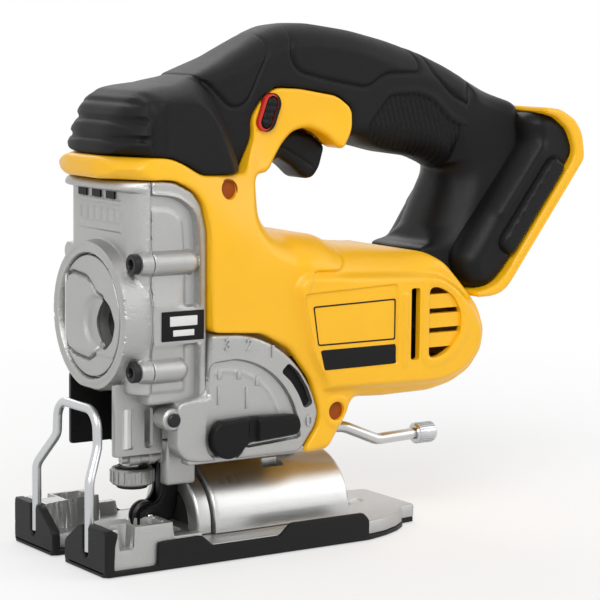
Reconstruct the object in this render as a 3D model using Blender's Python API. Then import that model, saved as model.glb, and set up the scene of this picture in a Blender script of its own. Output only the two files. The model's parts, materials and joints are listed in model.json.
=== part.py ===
"""Cordless jigsaw with a D handle, modelled as an assembly of separate pieces.

Sizes are in millimetres and helpers turn them into metres. Distances along the tool (x) are counted
from the front edge of the shoe, +X towards the battery, -Y is the tool's left side and z = 0 is the sole.
"""

import math

import bmesh
import bpy
from mathutils import Matrix, Vector

MM = 0.001

# Clearances between pieces
GAP = 0.3
RUNNING = 0.25
TRAVEL_GAP = 0.6

# Overall sizes
LENGTH = 234.0
SHOE_LENGTH = 160.0
SHOE_WIDTH = 75.0
HANDLE_TOP = 208.0
HOUSING_HALF = 33.0
BARREL_HALF = 36.0
GRIP_HALF = 17.5
NOSE_HALF = 30.0
FOOT_HALF = 36.0
GEARCASE_HALF = 30.0
WALL = 2.8

# Stations along the tool
GEARCASE_SPLIT_X = 24.5
GEARCASE_FACE_X = 18.5
GEARCASE_BACK_X = 49.0
GEARCASE_TOP_Z = 148.5
COLUMN_REAR_X = 69.5
PLUNGER_X = 33.0
MOTOR_Z = 83.0
MOTOR_FRONT_X = 112.0
MOTOR_REAR_X = 158.0
MOTOR_RADIUS = 21.5

# Reciprocating parts
PLUNGER_RADIUS = 4.5
PLUNGER_LOW_Z = 29.0
PLUNGER_HIGH_Z = 121.3
STROKE = 25.4
GEAR_RADIUS = 15.4
GEAR_TEETH = 44
PINION_TEETH = 8
PINION_RADIUS = GEAR_RADIUS * PINION_TEETH / GEAR_TEETH
GEAR_Z = MOTOR_Z + GEAR_RADIUS + PINION_RADIUS
GEAR_FRONT_X = 41.2
GEAR_WIDTH = 4.5
CLAMP_RADIUS = 6.5
COLLAR_RADIUS = 9.0
BUSH_RADIUS = 8.0
UPPER_BUSH_RADIUS = 7.0
UPPER_BUSH_Z = 119.2

# Shoe
SHOE_THICKNESS = 5.5
SOLE_Z = 0.0
QUADRANT_RADIUS = 23.0
QUADRANT_FRONT_X = 52.0
QUADRANT_REAR_X = 112.0
BEVEL_AXIS_Z = 10.0
WIRE_RADIUS = 1.85
SKIRT_HEIGHT = 11.5

# Battery foot. Its plane leans forward: along it runs "up", across it "out" towards the battery
BATTERY_ANGLE = math.radians(52.5)
RAIL_THICKNESS = 4.7
FOOT_DEPTH = 25.4
FOOT_LOW = -46.0
FOOT_HIGH = 21.0
BATTERY_POINT = (LENGTH - FOOT_HIGH * math.cos(BATTERY_ANGLE), 135.0)
TERMINAL_HALF = 19.0

# Trigger, lock button and housing
TRIGGER_WIDTH = 17.0
BUTTON_CENTRE = (84.0, 173.0)
BUTTON_HALF_LENGTH = 4.2
BUTTON_RADIUS = 2.4
BUTTON_TILT = math.radians(70)
VENT_ROWS = (75.2, 83.3, 91.3, 99.3)
HOUSING_SCREWS = ((59.0, 144.0), (109.0, 52.0))
SCREW_HEAD_Y = 16.0
SCREW_RADIUS = 1.8
SCREW_RECESS_RADIUS = 3.2

# Gearcase
BOSS_X = 13.5
BOSS_Z = 94.7
BOSS_RADIUS = 29.7
BOSS_RECESS = 24.5
RECESS_FLOOR_X = 16.6
CASE_SCREWS = ((-27.5, 117.0), (-27.5, 75.5), (27.5, 117.0), (27.5, 75.5))
CASE_BOSS_RADIUS = 4.8
CASE_SCREW_RADIUS = 2.0
LOW_EDGE_Z = 66.0
CASE_FLOOR_Z = 62.0
LOBE_INNER = 24.0
LOBE_OUTER = 32.0
GEARBOX_INNER = 24.0
FRONT_BEARING_RADIUS = 7.0
AXLE_RADIUS = 3.0

# Levers and their pins
ORBITAL_PIVOT = (57.0, 48.0)
ORBITAL_SHAFT_RADIUS = 4.0
LEVER_AXIS_Y = 20.5
LEVER_PIN_RADIUS = 0.8
LEVER_PIN_REACH = 15.5
LEVER_KNUCKLE_RADIUS = 1.45
LEVER_CHORD_INSET = 1.2
LEVER_SHOULDER_DEPTH = 1.8
LEVER_TAB_HALF = 12.2
LEVER_PIVOT_X = 104.0
LEVER_SHAFT_RADIUS = 3.0
LEVER_HUB_RADIUS = 7.0
LEVER_HUB_LOW = 35.0
LEVER_HUB_TOP = 46.0
LEVER_ROD_RADIUS = 2.4
TILT_REACH = 33.0

# Drive and blade guide
PIN_RADIUS = 2.2
YOKE_FRONT_X = 35.4
YOKE_REAR_X = 38.4
ARM_PIVOT = (47.0, 34.3)
ARM_PIN_RADIUS = 2.0
ARM_HALF = 5.5
ROLLER_AXIS = (38.5, 13.0)
ROLLER_RADIUS = 6.0
ROLLER_HALF = 2.5
ROLLER_PIN_RADIUS = 1.5

# Shoe cover and finger guard
BLOCK_HEIGHT = 18.0
BLOCK_REAR_X = 31.0
COVER_WALL = 3.4
SKIN = 1.7
SKIRT_WALL = 1.4
TAB_HALF = 19.0
SKIRT_REAR_X = 122.5
NOTCH_HALF = 9.0
WIRE_X = 3.6
WIRE_Y = 21.0
WIRE_TOP = 62.0

# Motor end bell, which fits the housing whatever the motor's size
END_BELL_RADIUS = 20.5
END_BELL_WIDTH = 4.5

# Speed switch, held between the grip halves above the trigger
SWITCH_HALF = TRIGGER_WIDTH / 2 + TRAVEL_GAP - GAP

PARTS = "jigsaw"
CUTTERS = "cutters"

COLOURS = {
    "yellow_plastic": ((0.991, 0.509, 0.006), 0.42, 0.0),
    "black_rubber": ((0.045, 0.045, 0.047), 0.62, 0.0),
    "black_plastic": ((0.028, 0.028, 0.029), 0.48, 0.0),
    "cast_aluminium": ((0.42, 0.42, 0.41), 0.42, 0.9),
    "bright_steel": ((0.62, 0.62, 0.62), 0.25, 1.0),
    "black_steel": ((0.03, 0.03, 0.032), 0.40, 0.7),
    "brass": ((0.62, 0.44, 0.16), 0.32, 1.0),
    "copper": ((0.72, 0.32, 0.16), 0.35, 1.0),
}


def clear_scene():
    for obj in list(bpy.data.objects):
        bpy.data.objects.remove(obj, do_unlink=True)
    for collection in list(bpy.data.collections):
        bpy.data.collections.remove(collection)


def new_collection(name):
    collection = bpy.data.collections.new(name)
    bpy.context.scene.collection.children.link(collection)
    return collection


def material(name):
    """The Principled material of this finish, made once."""
    found = bpy.data.materials.get(name)
    if found:
        return found
    colour, roughness, metallic = COLOURS[name]
    made = bpy.data.materials.new(name)
    made.use_nodes = True
    shader = made.node_tree.nodes["Principled BSDF"]
    shader.inputs["Base Color"].default_value = (*colour, 1.0)
    shader.inputs["Roughness"].default_value = roughness
    shader.inputs["Metallic"].default_value = metallic
    return made


def new_object(name, bm, finish=None, collection=PARTS):
    """The bmesh, in millimetres, as an object in metres."""
    bmesh.ops.remove_doubles(bm, verts=bm.verts, dist=1e-4)
    bmesh.ops.recalc_face_normals(bm, faces=bm.faces)
    bmesh.ops.scale(bm, vec=(MM, MM, MM), verts=bm.verts)
    mesh = bpy.data.meshes.new(name)
    bm.to_mesh(mesh)
    bm.free()
    obj = bpy.data.objects.new(name, mesh)
    bpy.data.collections[collection].objects.link(obj)
    if collection == CUTTERS:
        obj.hide_render = True
        obj.display_type = "WIRE"
    if finish:
        mesh.materials.append(material(finish))
    return obj


def arc(centre, radius, start, end, steps=6):
    """Points round a centre, angles in degrees from +X towards +Z."""
    points = []
    for step in range(steps + 1):
        angle = math.radians(start + (end - start) * step / steps)
        points.append((centre[0] + radius * math.cos(angle), centre[1] + radius * math.sin(angle)))
    return points


FLAT_TURNS = {
    "Y": Matrix.Rotation(math.pi / 2, 4, "X"),
    "Z": Matrix.Identity(4),
    "X": Matrix.Rotation(math.pi / 2, 4, "Z") @ Matrix.Rotation(math.pi / 2, 4, "X"),
}


def plate_mesh(outline, low, high, fillet=0.0, rounded="", axis="Y", segments=2):
    """A flat outline between two planes across the axis, its low or high rim rounded.

    The outline's points are (x, z) across Y, (x, y) across Z and (y, z) across X."""
    curve = bpy.data.curves.new("outline", "CURVE")
    curve.dimensions = "2D"
    curve.fill_mode = "BOTH"
    curve.extrude = (high - low) / 2
    spline = curve.splines.new("POLY")
    spline.points.add(len(outline) - 1)
    for point, (x, z) in zip(spline.points, outline):
        point.co = (x, z, 0.0, 1.0)
    spline.use_cyclic_u = True
    holder = bpy.data.objects.new("outline", curve)
    bpy.context.scene.collection.objects.link(holder)
    graph = bpy.context.evaluated_depsgraph_get()
    mesh = bpy.data.meshes.new_from_object(holder.evaluated_get(graph))
    bpy.data.objects.remove(holder, do_unlink=True)
    bm = bmesh.new()
    bm.from_mesh(mesh)
    bpy.data.meshes.remove(mesh)
    bmesh.ops.remove_doubles(bm, verts=bm.verts, dist=1e-4)
    number = "XYZ".index(axis)
    middle = Vector((0, 0, 0))
    middle[number] = (low + high) / 2
    bmesh.ops.transform(bm, matrix=Matrix.Translation(middle) @ FLAT_TURNS[axis], verts=bm.verts)
    bmesh.ops.dissolve_limit(bm, angle_limit=0.01, verts=bm.verts, edges=bm.edges)
    if fillet:
        planes = [low] * ("low" in rounded) + [high] * ("high" in rounded)
        rim = [e for e in bm.edges if any(all(abs(v.co[number] - p) < 1e-3 for v in e.verts) for p in planes)]
        bmesh.ops.bevel(bm, geom=rim, offset=fillet, segments=segments, profile=0.5, affect="EDGES")
    return bm


def plate(name, outline, low, high, finish=None, fillet=0.0, rounded="", axis="Y", collection=PARTS):
    return new_object(name, plate_mesh(outline, low, high, fillet, rounded, axis), finish, collection)


def box(name, low, high, finish=None, collection=PARTS, fillet=0.0):
    bm = bmesh.new()
    bmesh.ops.create_cube(bm, size=1.0)
    bmesh.ops.scale(bm, vec=[h - l for l, h in zip(low, high)], verts=bm.verts)
    bmesh.ops.translate(bm, vec=[(l + h) / 2 for l, h in zip(low, high)], verts=bm.verts)
    if fillet:
        bmesh.ops.bevel(bm, geom=bm.edges[:], offset=fillet, segments=2, profile=0.5, affect="EDGES")
    return new_object(name, bm, finish, collection)


AXIS_TURNS = {
    "X": Matrix.Rotation(math.pi / 2, 4, "Y"),
    "Y": Matrix.Rotation(-math.pi / 2, 4, "X"),
    "Z": Matrix.Identity(4),
}


def turned(name, centre, axis, profile, finish=None, sides=24, collection=PARTS):
    """A solid of revolution: (distance along the axis, radius) pairs, lowest first, radius 0 at no point."""
    bm = bmesh.new()
    rings = []
    for along, radius in profile:
        ring = []
        for side in range(sides):
            angle = 2 * math.pi * side / sides
            ring.append(bm.verts.new((radius * math.cos(angle), radius * math.sin(angle), along)))
        rings.append(ring)
    for lower, upper in zip(rings, rings[1:]):
        for side in range(sides):
            after = (side + 1) % sides
            bm.faces.new((lower[side], lower[after], upper[after], upper[side]))
    bm.faces.new(list(reversed(rings[0])))
    bm.faces.new(rings[-1])
    turn = Matrix.Translation(centre) @ AXIS_TURNS[axis]
    bmesh.ops.transform(bm, matrix=turn, verts=bm.verts)
    return new_object(name, bm, finish, collection)


def rod(name, centre, axis, length, radius, finish=None, sides=24, collection=PARTS, chamfer=0.0):
    """A plain cylinder that starts at centre and runs along the axis."""
    if chamfer:
        profile = [(0, radius - chamfer), (chamfer, radius), (length - chamfer, radius), (length, radius - chamfer)]
    else:
        profile = [(0, radius), (length, radius)]
    return turned(name, centre, axis, profile, finish, sides, collection)


def wire(name, points, radius, finish=None, collection=PARTS, resolution=3):
    """A bent rod along a smooth line through the points."""
    curve = bpy.data.curves.new(name, "CURVE")
    curve.dimensions = "3D"
    curve.bevel_depth = radius
    curve.bevel_resolution = resolution
    curve.use_fill_caps = True
    spline = curve.splines.new("POLY")
    spline.points.add(len(points) - 1)
    for point, place in zip(spline.points, points):
        point.co = (*place, 1.0)
    holder = bpy.data.objects.new(name, curve)
    bpy.context.scene.collection.objects.link(holder)
    graph = bpy.context.evaluated_depsgraph_get()
    mesh = bpy.data.meshes.new_from_object(holder.evaluated_get(graph))
    bpy.data.objects.remove(holder, do_unlink=True)
    bm = bmesh.new()
    bm.from_mesh(mesh)
    bpy.data.meshes.remove(mesh)
    return new_object(name, bm, finish, collection)


def rounded_path(corners, radius, steps=4):
    """The points of a bent line whose corners are rounded."""
    path = [Vector(corners[0])]
    for before, corner, after in zip(corners, corners[1:], corners[2:]):
        corner = Vector(corner)
        start = corner + (Vector(before) - corner).normalized() * radius
        end = corner + (Vector(after) - corner).normalized() * radius
        for step in range(steps + 1):
            t = step / steps
            path.append(start * (1 - t) ** 2 + corner * 2 * t * (1 - t) + end * t * t)
    path.append(Vector(corners[-1]))
    return path


def combine(obj, others, operation):
    """Applies a Boolean of each other object and removes it from the scene."""
    for other in others:
        modifier = obj.modifiers.new(operation.lower(), "BOOLEAN")
        modifier.operation = operation
        modifier.object = other
        modifier.solver = "EXACT"
        graph = bpy.context.evaluated_depsgraph_get()
        mesh = bpy.data.meshes.new_from_object(obj.evaluated_get(graph))
        obj.modifiers.remove(modifier)
        obj.data = mesh
        bpy.data.objects.remove(other, do_unlink=True)
    return obj


def cut(obj, *others):
    return combine(obj, others, "DIFFERENCE")


def join(obj, *others):
    return combine(obj, others, "UNION")


def mirrored(obj, name):
    """A copy on the other side of the tool, its faces turned back out."""
    mesh = obj.data.copy()
    copy = bpy.data.objects.new(name, mesh)
    bpy.data.collections[PARTS].objects.link(copy)
    bm = bmesh.new()
    bm.from_mesh(mesh)
    bmesh.ops.scale(bm, vec=(1, -1, 1), verts=bm.verts)
    bmesh.ops.reverse_faces(bm, faces=bm.faces)
    bm.to_mesh(mesh)
    bm.free()
    return copy


def set_origin(obj, pivot):
    """Puts the object's origin on its joint's axis."""
    place = Vector(pivot) * MM
    obj.data.transform(Matrix.Translation(-place))
    obj.location = place
    return obj


def cutter_plate(outline, low, high, axis="Y"):
    return plate("cutter", outline, low, high, axis=axis, collection=CUTTERS)


def cutter_box(low, high):
    return box("cutter", low, high, collection=CUTTERS)


def cutter_rod(centre, axis, length, radius, sides=24):
    return rod("cutter", centre, axis, length, radius, sides=sides, collection=CUTTERS)


def on_battery(up, out):
    """The (x, z) of a point given along and across the battery plane."""
    x = BATTERY_POINT[0] + up * math.cos(BATTERY_ANGLE) + out * math.sin(BATTERY_ANGLE)
    z = BATTERY_POINT[1] + up * math.sin(BATTERY_ANGLE) - out * math.cos(BATTERY_ANGLE)
    return (x, z)


# Side outlines, (x, z) in millimetres


def housing_outline():
    """The yellow shell below the handle: nose band, column, motor barrel and rear foot."""
    seam_x = GEARCASE_BACK_X + GAP
    return (
        [(5.0, GEARCASE_TOP_Z + GAP), (30.0, GEARCASE_TOP_Z + GAP), (35.0, 148.3), (43.0, 144.4)]
        + [(47.0, 139.4), (seam_x, 129.0), (seam_x + 0.7, 89.0 + GAP)]
        + [(73.0, 87.0 + 2 * GAP), (86.5, 80.3), (96.5, 67.3), (100.5, 55.2), (100.5, 49.0), (92.5, 38.2)]
        + [(106.0, 38.2), (111.0, 46.0), (117.0, 55.5), (133.0, 55.0), (159.0, 55.0), (171.0, 58.0)]
        + [(182.0, 63.0), (188.5, 72.0), (189.5, 82.0), (185.0, 92.0), (176.7, 96.7), (168.0, 105.7)]
        + [(159.0, 111.7), (150.5, 114.7), (124.0, 118.0), (90.0, 122.0), (79.0, 124.0), (74.0, 126.5)]
        + [(70.0, 131.0), (69.2, 139.0), (COLUMN_REAR_X, 149.7), (47.0, 149.7), (40.0, 153.7)]
        + [(33.0, 156.7), (5.0, 157.5)]
    )


def barrel_outline():
    """The wider motor barrel, rounded at its rear."""
    return [
        (102.0, 57.5), (117.0, 56.5), (159.0, 56.0), (171.0, 59.0), (181.0, 64.0), (187.5, 72.5),
        (188.5, 82.0), (184.0, 91.0), (174.0, 100.0), (160.0, 107.0), (91.0, 110.0), (91.0, 79.0), (102.0, 63.5),
    ]


def trigger_frame_outline():
    """The yellow frame round the lock button and over the trigger."""
    return [
        (60.0, 149.2), (69.3, 149.4), (69.6, 164.0), (68.6, 170.0), (72.0, 178.0), (78.0, 182.5), (100.0, 182.0),
        (118.0, 179.0), (124.5, 174.0), (124.0, 165.0), (120.0, 157.5), (117.2, 158.6), (112.0, 163.7),
        (104.0, 166.7), (97.0, 165.2), (91.6, 160.0), (87.5, 152.6), (86.5, 149.0), (78.0, 145.0),
        (70.2, 136.0), (60.0, 136.0),
    ]


def nose_outline():
    """The rubber nose, from its ribs back to the slanted joint with the grip."""
    return [
        (7.0, 157.8), (8.0, 166.0), (11.0, 173.0), (14.0, 179.0), (20.0, 183.0), (33.0, 183.5),
        (51.4, 189.4), (65.2, 160.0), (68.3, 158.0), (69.0, 150.1), (47.3, 150.1), (40.3, 154.1), (33.0, 157.1),
    ]


def grip_outline():
    """The rubber grip from the nose joint to the battery foot."""
    return [
        (51.8, 189.9), (67.0, 197.0), (77.0, 202.0), (84.0, 205.0), (92.0, 207.0), (102.0, HANDLE_TOP),
        (111.0, HANDLE_TOP), (130.0, 205.3), (149.0, 201.0), (166.0, 197.0), (189.8, 187.2), (171.6, 147.3),
        (166.0, 151.0), (160.0, 153.0), (147.0, 155.0), (137.0, 158.0), (125.0, 163.5), (125.2, 174.3),
        (118.3, 179.5), (100.0, 182.5), (77.8, 183.1), (71.5, 178.4), (68.0, 170.0), (68.9, 164.0),
        (68.9, 160.4), (65.6, 160.4),
    ]


def neck_outline():
    """The black neck under the grip's rear end, down to the barrel."""
    return [
        (190.2, 187.0), (200.0, 180.8), (208.0, 171.0), (201.0, 140.0), (186.0, 115.0), (180.0, 97.6),
        (177.2, 97.3), (168.4, 106.2), (159.3, 112.2), (152.2, 115.0), (156.0, 119.0), (171.9, 147.0),
    ]


def foot_outline():
    """The wide black foot in front of the battery plane."""
    rear = -RAIL_THICKNESS - GAP
    return [
        on_battery(-38.0, -FOOT_DEPTH), on_battery(14.0, -FOOT_DEPTH), (210.5, 168.0), (213.0, 172.5),
        (219.0, 172.0), (225.0, 166.5), (228.4, 158.0), on_battery(FOOT_HIGH - 1.0, rear),
        on_battery(FOOT_LOW, rear), (182.0, 98.0), (178.0, 98.6), (172.6, 103.2), (172.0, 112.0),
    ]


def rail_outline():
    return [
        on_battery(FOOT_LOW, 0.0), on_battery(FOOT_HIGH, 0.0), on_battery(FOOT_HIGH + 2.5, -2.0),
        on_battery(FOOT_HIGH + 2.5, -RAIL_THICKNESS), on_battery(FOOT_LOW, -RAIL_THICKNESS),
    ]


def button_outline(extra=0.0):
    """The slanted oval of the lock button, or of its slot."""
    reach = Vector((math.cos(BUTTON_TILT), math.sin(BUTTON_TILT))) * BUTTON_HALF_LENGTH
    tilt = math.degrees(BUTTON_TILT)
    centre = Vector(BUTTON_CENTRE)
    radius = BUTTON_RADIUS + extra
    return arc(centre + reach, radius, tilt - 90, tilt + 90) + arc(centre - reach, radius, tilt + 90, tilt + 270)


def trigger_outline():
    return [
        (89.0, 149.8), (92.4, 158.2), (97.6, 163.8), (104.0, 165.6), (111.3, 162.8), (116.4, 157.9),
        (114.2, 148.0), (111.7, 145.0), (108.5, 145.3), (103.0, 150.6), (96.4, 154.2), (92.2, 151.4),
    ]


def make_housings():
    """The two yellow clamshell halves, hollow and open towards each other."""
    inner_low = -(HOUSING_HALF - WALL)
    left = plate("left_housing", housing_outline(), -HOUSING_HALF, -GAP / 2, "yellow_plastic", 3.0, "low")
    barrel = plate_mesh(barrel_outline(), -BARREL_HALF, -HOUSING_HALF + 6.0, 2.4, "low")
    join(left, new_object("cutter", barrel, None, CUTTERS))
    frame = plate_mesh(trigger_frame_outline(), -GRIP_HALF, -GAP / 2, 1.6, "low")
    join(left, new_object("cutter", frame, None, CUTTERS))
    column = [(GEARCASE_BACK_X + 2 * WALL, 92.0), (66.0, 92.0), (66.0, 136.0), (60.0, 146.5), (52.0, 146.5)]
    bay = [
        (96.0, 70.0), (104.0, 60.0), (170.0, 60.0), (183.0, 68.0), (184.5, 82.0), (178.0, 92.0),
        (156.0, 108.5), (148.0, 111.6), (90.0, 118.0), (70.0, 118.0), (60.0, 92.0), (88.0, 84.0),
    ]
    trigger_bay = [
        (83.0, 150.0), (88.5, 148.0), (97.0, 140.0), (113.5, 140.0), (117.0, 158.0), (121.5, 163.0),
        (118.0, 186.0), (88.0, 186.0), (88.0, 166.0), (85.5, 160.0),
    ]
    cut(left, cutter_plate(column, inner_low, 1.0), cutter_plate(bay, inner_low, 1.0))
    cut(left, cutter_rod((GEARCASE_BACK_X - 5, 0, MOTOR_Z), "X", 60.0, FRONT_BEARING_RADIUS + TRAVEL_GAP))
    cut(left, cutter_plate(trigger_bay, -TRIGGER_WIDTH / 2 - TRAVEL_GAP, 1.0))
    cut(left, cutter_plate(button_outline(GAP), -HOUSING_HALF, 1.0))
    # The barrel's vents: one upright slot, then slats
    cut(left, cutter_box((143.0, -BARREL_HALF - 1, 72.0), (147.0, 0, 101.0)))
    for z in VENT_ROWS:
        cut(left, cutter_box((154.0, -BARREL_HALF - 1, z - 1.2), (167.0, 0, z + 1.2)))
    # Under the housing the shoe needs room to tilt
    cut(left, cutter_plate(tilt_clearance(), 0.0, LENGTH, axis="X"))
    for x, z in HOUSING_SCREWS:
        recess_depth = HOUSING_HALF - SCREW_HEAD_Y + 1
        cut(left, cutter_rod((x, -HOUSING_HALF - 1, z), "Y", recess_depth, SCREW_RECESS_RADIUS, 16))
        cut(left, cutter_rod((x, -HOUSING_HALF, z), "Y", HOUSING_HALF + 1, SCREW_RADIUS + GAP, 16))
    right = mirrored(left, "right_housing")
    # Room for the bevel lever's hub, its clamp screw and the rod's sweep to the left
    for half in (left, right):
        cut(half, cutter_rod((LEVER_PIVOT_X, 0, 25.0), "Z", LEVER_HUB_TOP - 24.0, LEVER_HUB_RADIUS + 2.0, 20))
        cut(half, cutter_rod((LEVER_PIVOT_X, 0, 36.0), "Z", 30.0, LEVER_SHAFT_RADIUS + GAP, 16))
    sweep = [(LEVER_PIVOT_X, 0.0), (LEVER_PIVOT_X + 46, -9.0), (150.0, -50.0), (LEVER_PIVOT_X - 4, -50.0)]
    cut(left, cutter_plate(sweep, 25.0, LEVER_HUB_TOP + 1.0, "Z"))
    return left, right


def tilt_clearance():
    """The (y, z) room that the shoe sweeps as it tilts either way, up to 45 degrees."""
    return [
        (-TILT_REACH - 30, -60.0), (TILT_REACH + 30, -60.0), (TILT_REACH + 30, 37.0), (26.0, 37.0),
        (23.0, 31.5), (10.0, 33.0 + TRAVEL_GAP), (-10.0, 33.0 + TRAVEL_GAP), (-23.0, 31.5), (-26.0, 37.0),
        (-TILT_REACH - 30, 37.0),
    ]


def make_housing_screws():
    for number, (x, z) in enumerate(HOUSING_SCREWS, start=1):
        head = [(0, 2.6), (2.2, 2.6), (2.2 + GAP / 2, SCREW_RADIUS), (22.0, SCREW_RADIUS)]
        turned(f"housing_screw_{number}", (x, -SCREW_HEAD_Y - 2.2 - GAP, z), "Y", head, "black_steel", 12)


def make_grips():
    """The rubber grip halves, with a bay for the speed switch."""
    left = plate("left_grip", grip_outline(), -GRIP_HALF, -GAP / 2, "black_rubber", 5.5, "low")
    bay = [(84.0, 182.0), (120.0, 178.0), (123.0, 184.0), (121.0, 199.0), (84.0, 197.0)]
    wire_way = [(118.0, 176.0), (166.0, 163.0), (184.0, 165.0), (192.0, 186.0), (160.0, 189.0), (118.0, 196.0)]
    cut(left, cutter_plate(bay, -TRIGGER_WIDTH / 2 - TRAVEL_GAP, 1.0), cutter_plate(wire_way, -10.5, 1.0))
    return left, mirrored(left, "right_grip")


def make_nose():
    nose = plate("nose_bumper", nose_outline(), -NOSE_HALF, NOSE_HALF, "black_rubber", 7.0, "low high")
    hollow = [(13.0, 155.0), (14.0, 168.0), (22.0, 177.5), (34.0, 178.0), (48.0, 180.0), (60.0, 155.0)]
    cut(nose, cutter_plate(hollow, -NOSE_HALF + 7.5, NOSE_HALF - 7.5))
    return nose


def make_battery_foot():
    """The black foot halves with the terminal bay, the yellow rail plate and the terminal block."""
    left = plate("left_foot", neck_outline(), -GRIP_HALF + 0.5, -GAP / 2, "black_plastic", 4.0, "low")
    foot = plate_mesh(foot_outline(), -FOOT_HALF, -GAP / 2, 6.0, "low")
    join(left, new_object("cutter", foot, None, CUTTERS))
    rear = -RAIL_THICKNESS
    bay = [on_battery(-34.0, rear + 1), on_battery(13.0, rear + 1), on_battery(13.0, -20.0), on_battery(-34.0, -20.0)]
    cut(left, cutter_plate(bay, -FOOT_HALF + 4.0, 1.0))
    channel = [on_battery(-6.0, -18.0), on_battery(8.0, -18.0), (190.0, 176.0), (183.0, 163.0)]
    cut(left, cutter_plate(channel, -7.0, 1.0))
    mirrored(left, "right_foot")
    rail = plate("battery_rail_plate", rail_outline(), -FOOT_HALF, FOOT_HALF, "yellow_plastic", 1.2, "low high")
    window = [on_battery(-26.0, 2), on_battery(12.0, 2), on_battery(12.0, -8), on_battery(-26.0, -8)]
    cut(rail, cutter_plate(window, -TERMINAL_HALF - GAP, TERMINAL_HALF + GAP))
    block = [
        on_battery(-26.0 + GAP, -1.5), on_battery(12.0 - GAP, -1.5), on_battery(12.0 - GAP, -17.0),
        on_battery(-26.0 + GAP, -17.0),
    ]
    terminals = plate("terminal_block", block, -TERMINAL_HALF, TERMINAL_HALF, "black_plastic")
    for y in (-14.0, -5.0, 5.0, 14.0):
        slot = [on_battery(-20.0, 0), on_battery(14.0, 0), on_battery(14.0, -9.0), on_battery(-20.0, -9.0)]
        cut(terminals, cutter_plate(slot, y - 1.2, y + 1.2))


def boss_outline(radius, centre_y=0.0, steps=28):
    """A circle round the front boss's centre, as (y, z)."""
    return arc((centre_y, BOSS_Z), radius, 0, 360 - 360 / steps, steps - 1)


def make_gearcase_front():
    """The front casting: cover, round lever boss and screw bosses, hollow towards the gears."""
    half = GEARCASE_HALF - 4.0
    back = GEARCASE_SPLIT_X - GAP / 2
    outline = [(-half - 3.4, LOW_EDGE_Z), (half + 3.4, LOW_EDGE_Z), (half + 3.4, 142.0), (half - 2, GEARCASE_TOP_Z)]
    outline += [(-half + 2, GEARCASE_TOP_Z), (-half - 3.4, 142.0)]
    front = plate("gearcase_front", outline, GEARCASE_FACE_X, back, "cast_aluminium", 3.0, "low", axis="X")
    join(front, plate("cutter", boss_outline(BOSS_RADIUS), BOSS_X, back - 1.0, None, 1.0, "low", "X", CUTTERS))
    for y, z in CASE_SCREWS:
        join(front, cutter_rod((BOSS_X + 2.5, y, z), "X", back - BOSS_X - 2.8, CASE_BOSS_RADIUS, 16))
    cavity = [(-23.0, 70.0), (23.0, 70.0), (23.0, 144.0), (-23.0, 144.0)]
    cut(front, cutter_plate(boss_outline(BOSS_RECESS), BOSS_X - 1, RECESS_FLOOR_X, "X"))
    cut(front, cutter_plate(cavity, RECESS_FLOOR_X + WALL, back + 1, "X"))
    for y, z in CASE_SCREWS:
        cut(front, cutter_rod((BOSS_X, y, z), "X", GEARCASE_SPLIT_X, CASE_SCREW_RADIUS + GAP, 12))
    axis_x = (BOSS_X + RECESS_FLOOR_X) / 2
    bore_low = (axis_x, LEVER_AXIS_Y, BOSS_Z - LEVER_PIN_REACH - GAP)
    cut(front, cutter_rod(bore_low, "Z", 2 * (LEVER_PIN_REACH + GAP), LEVER_PIN_RADIUS + GAP, 12))
    return front


def lobe_outline():
    """The dial lobe behind the gearcase, inside the housing's seam."""
    return [
        (42.0, 40.0), (91.5, 38.4), (99.6, 49.0), (99.6, 55.0), (95.6, 66.8), (85.7, 79.6), (73.0, 86.6),
        (60.0, 88.4), (42.0, 88.4),
    ]


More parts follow.
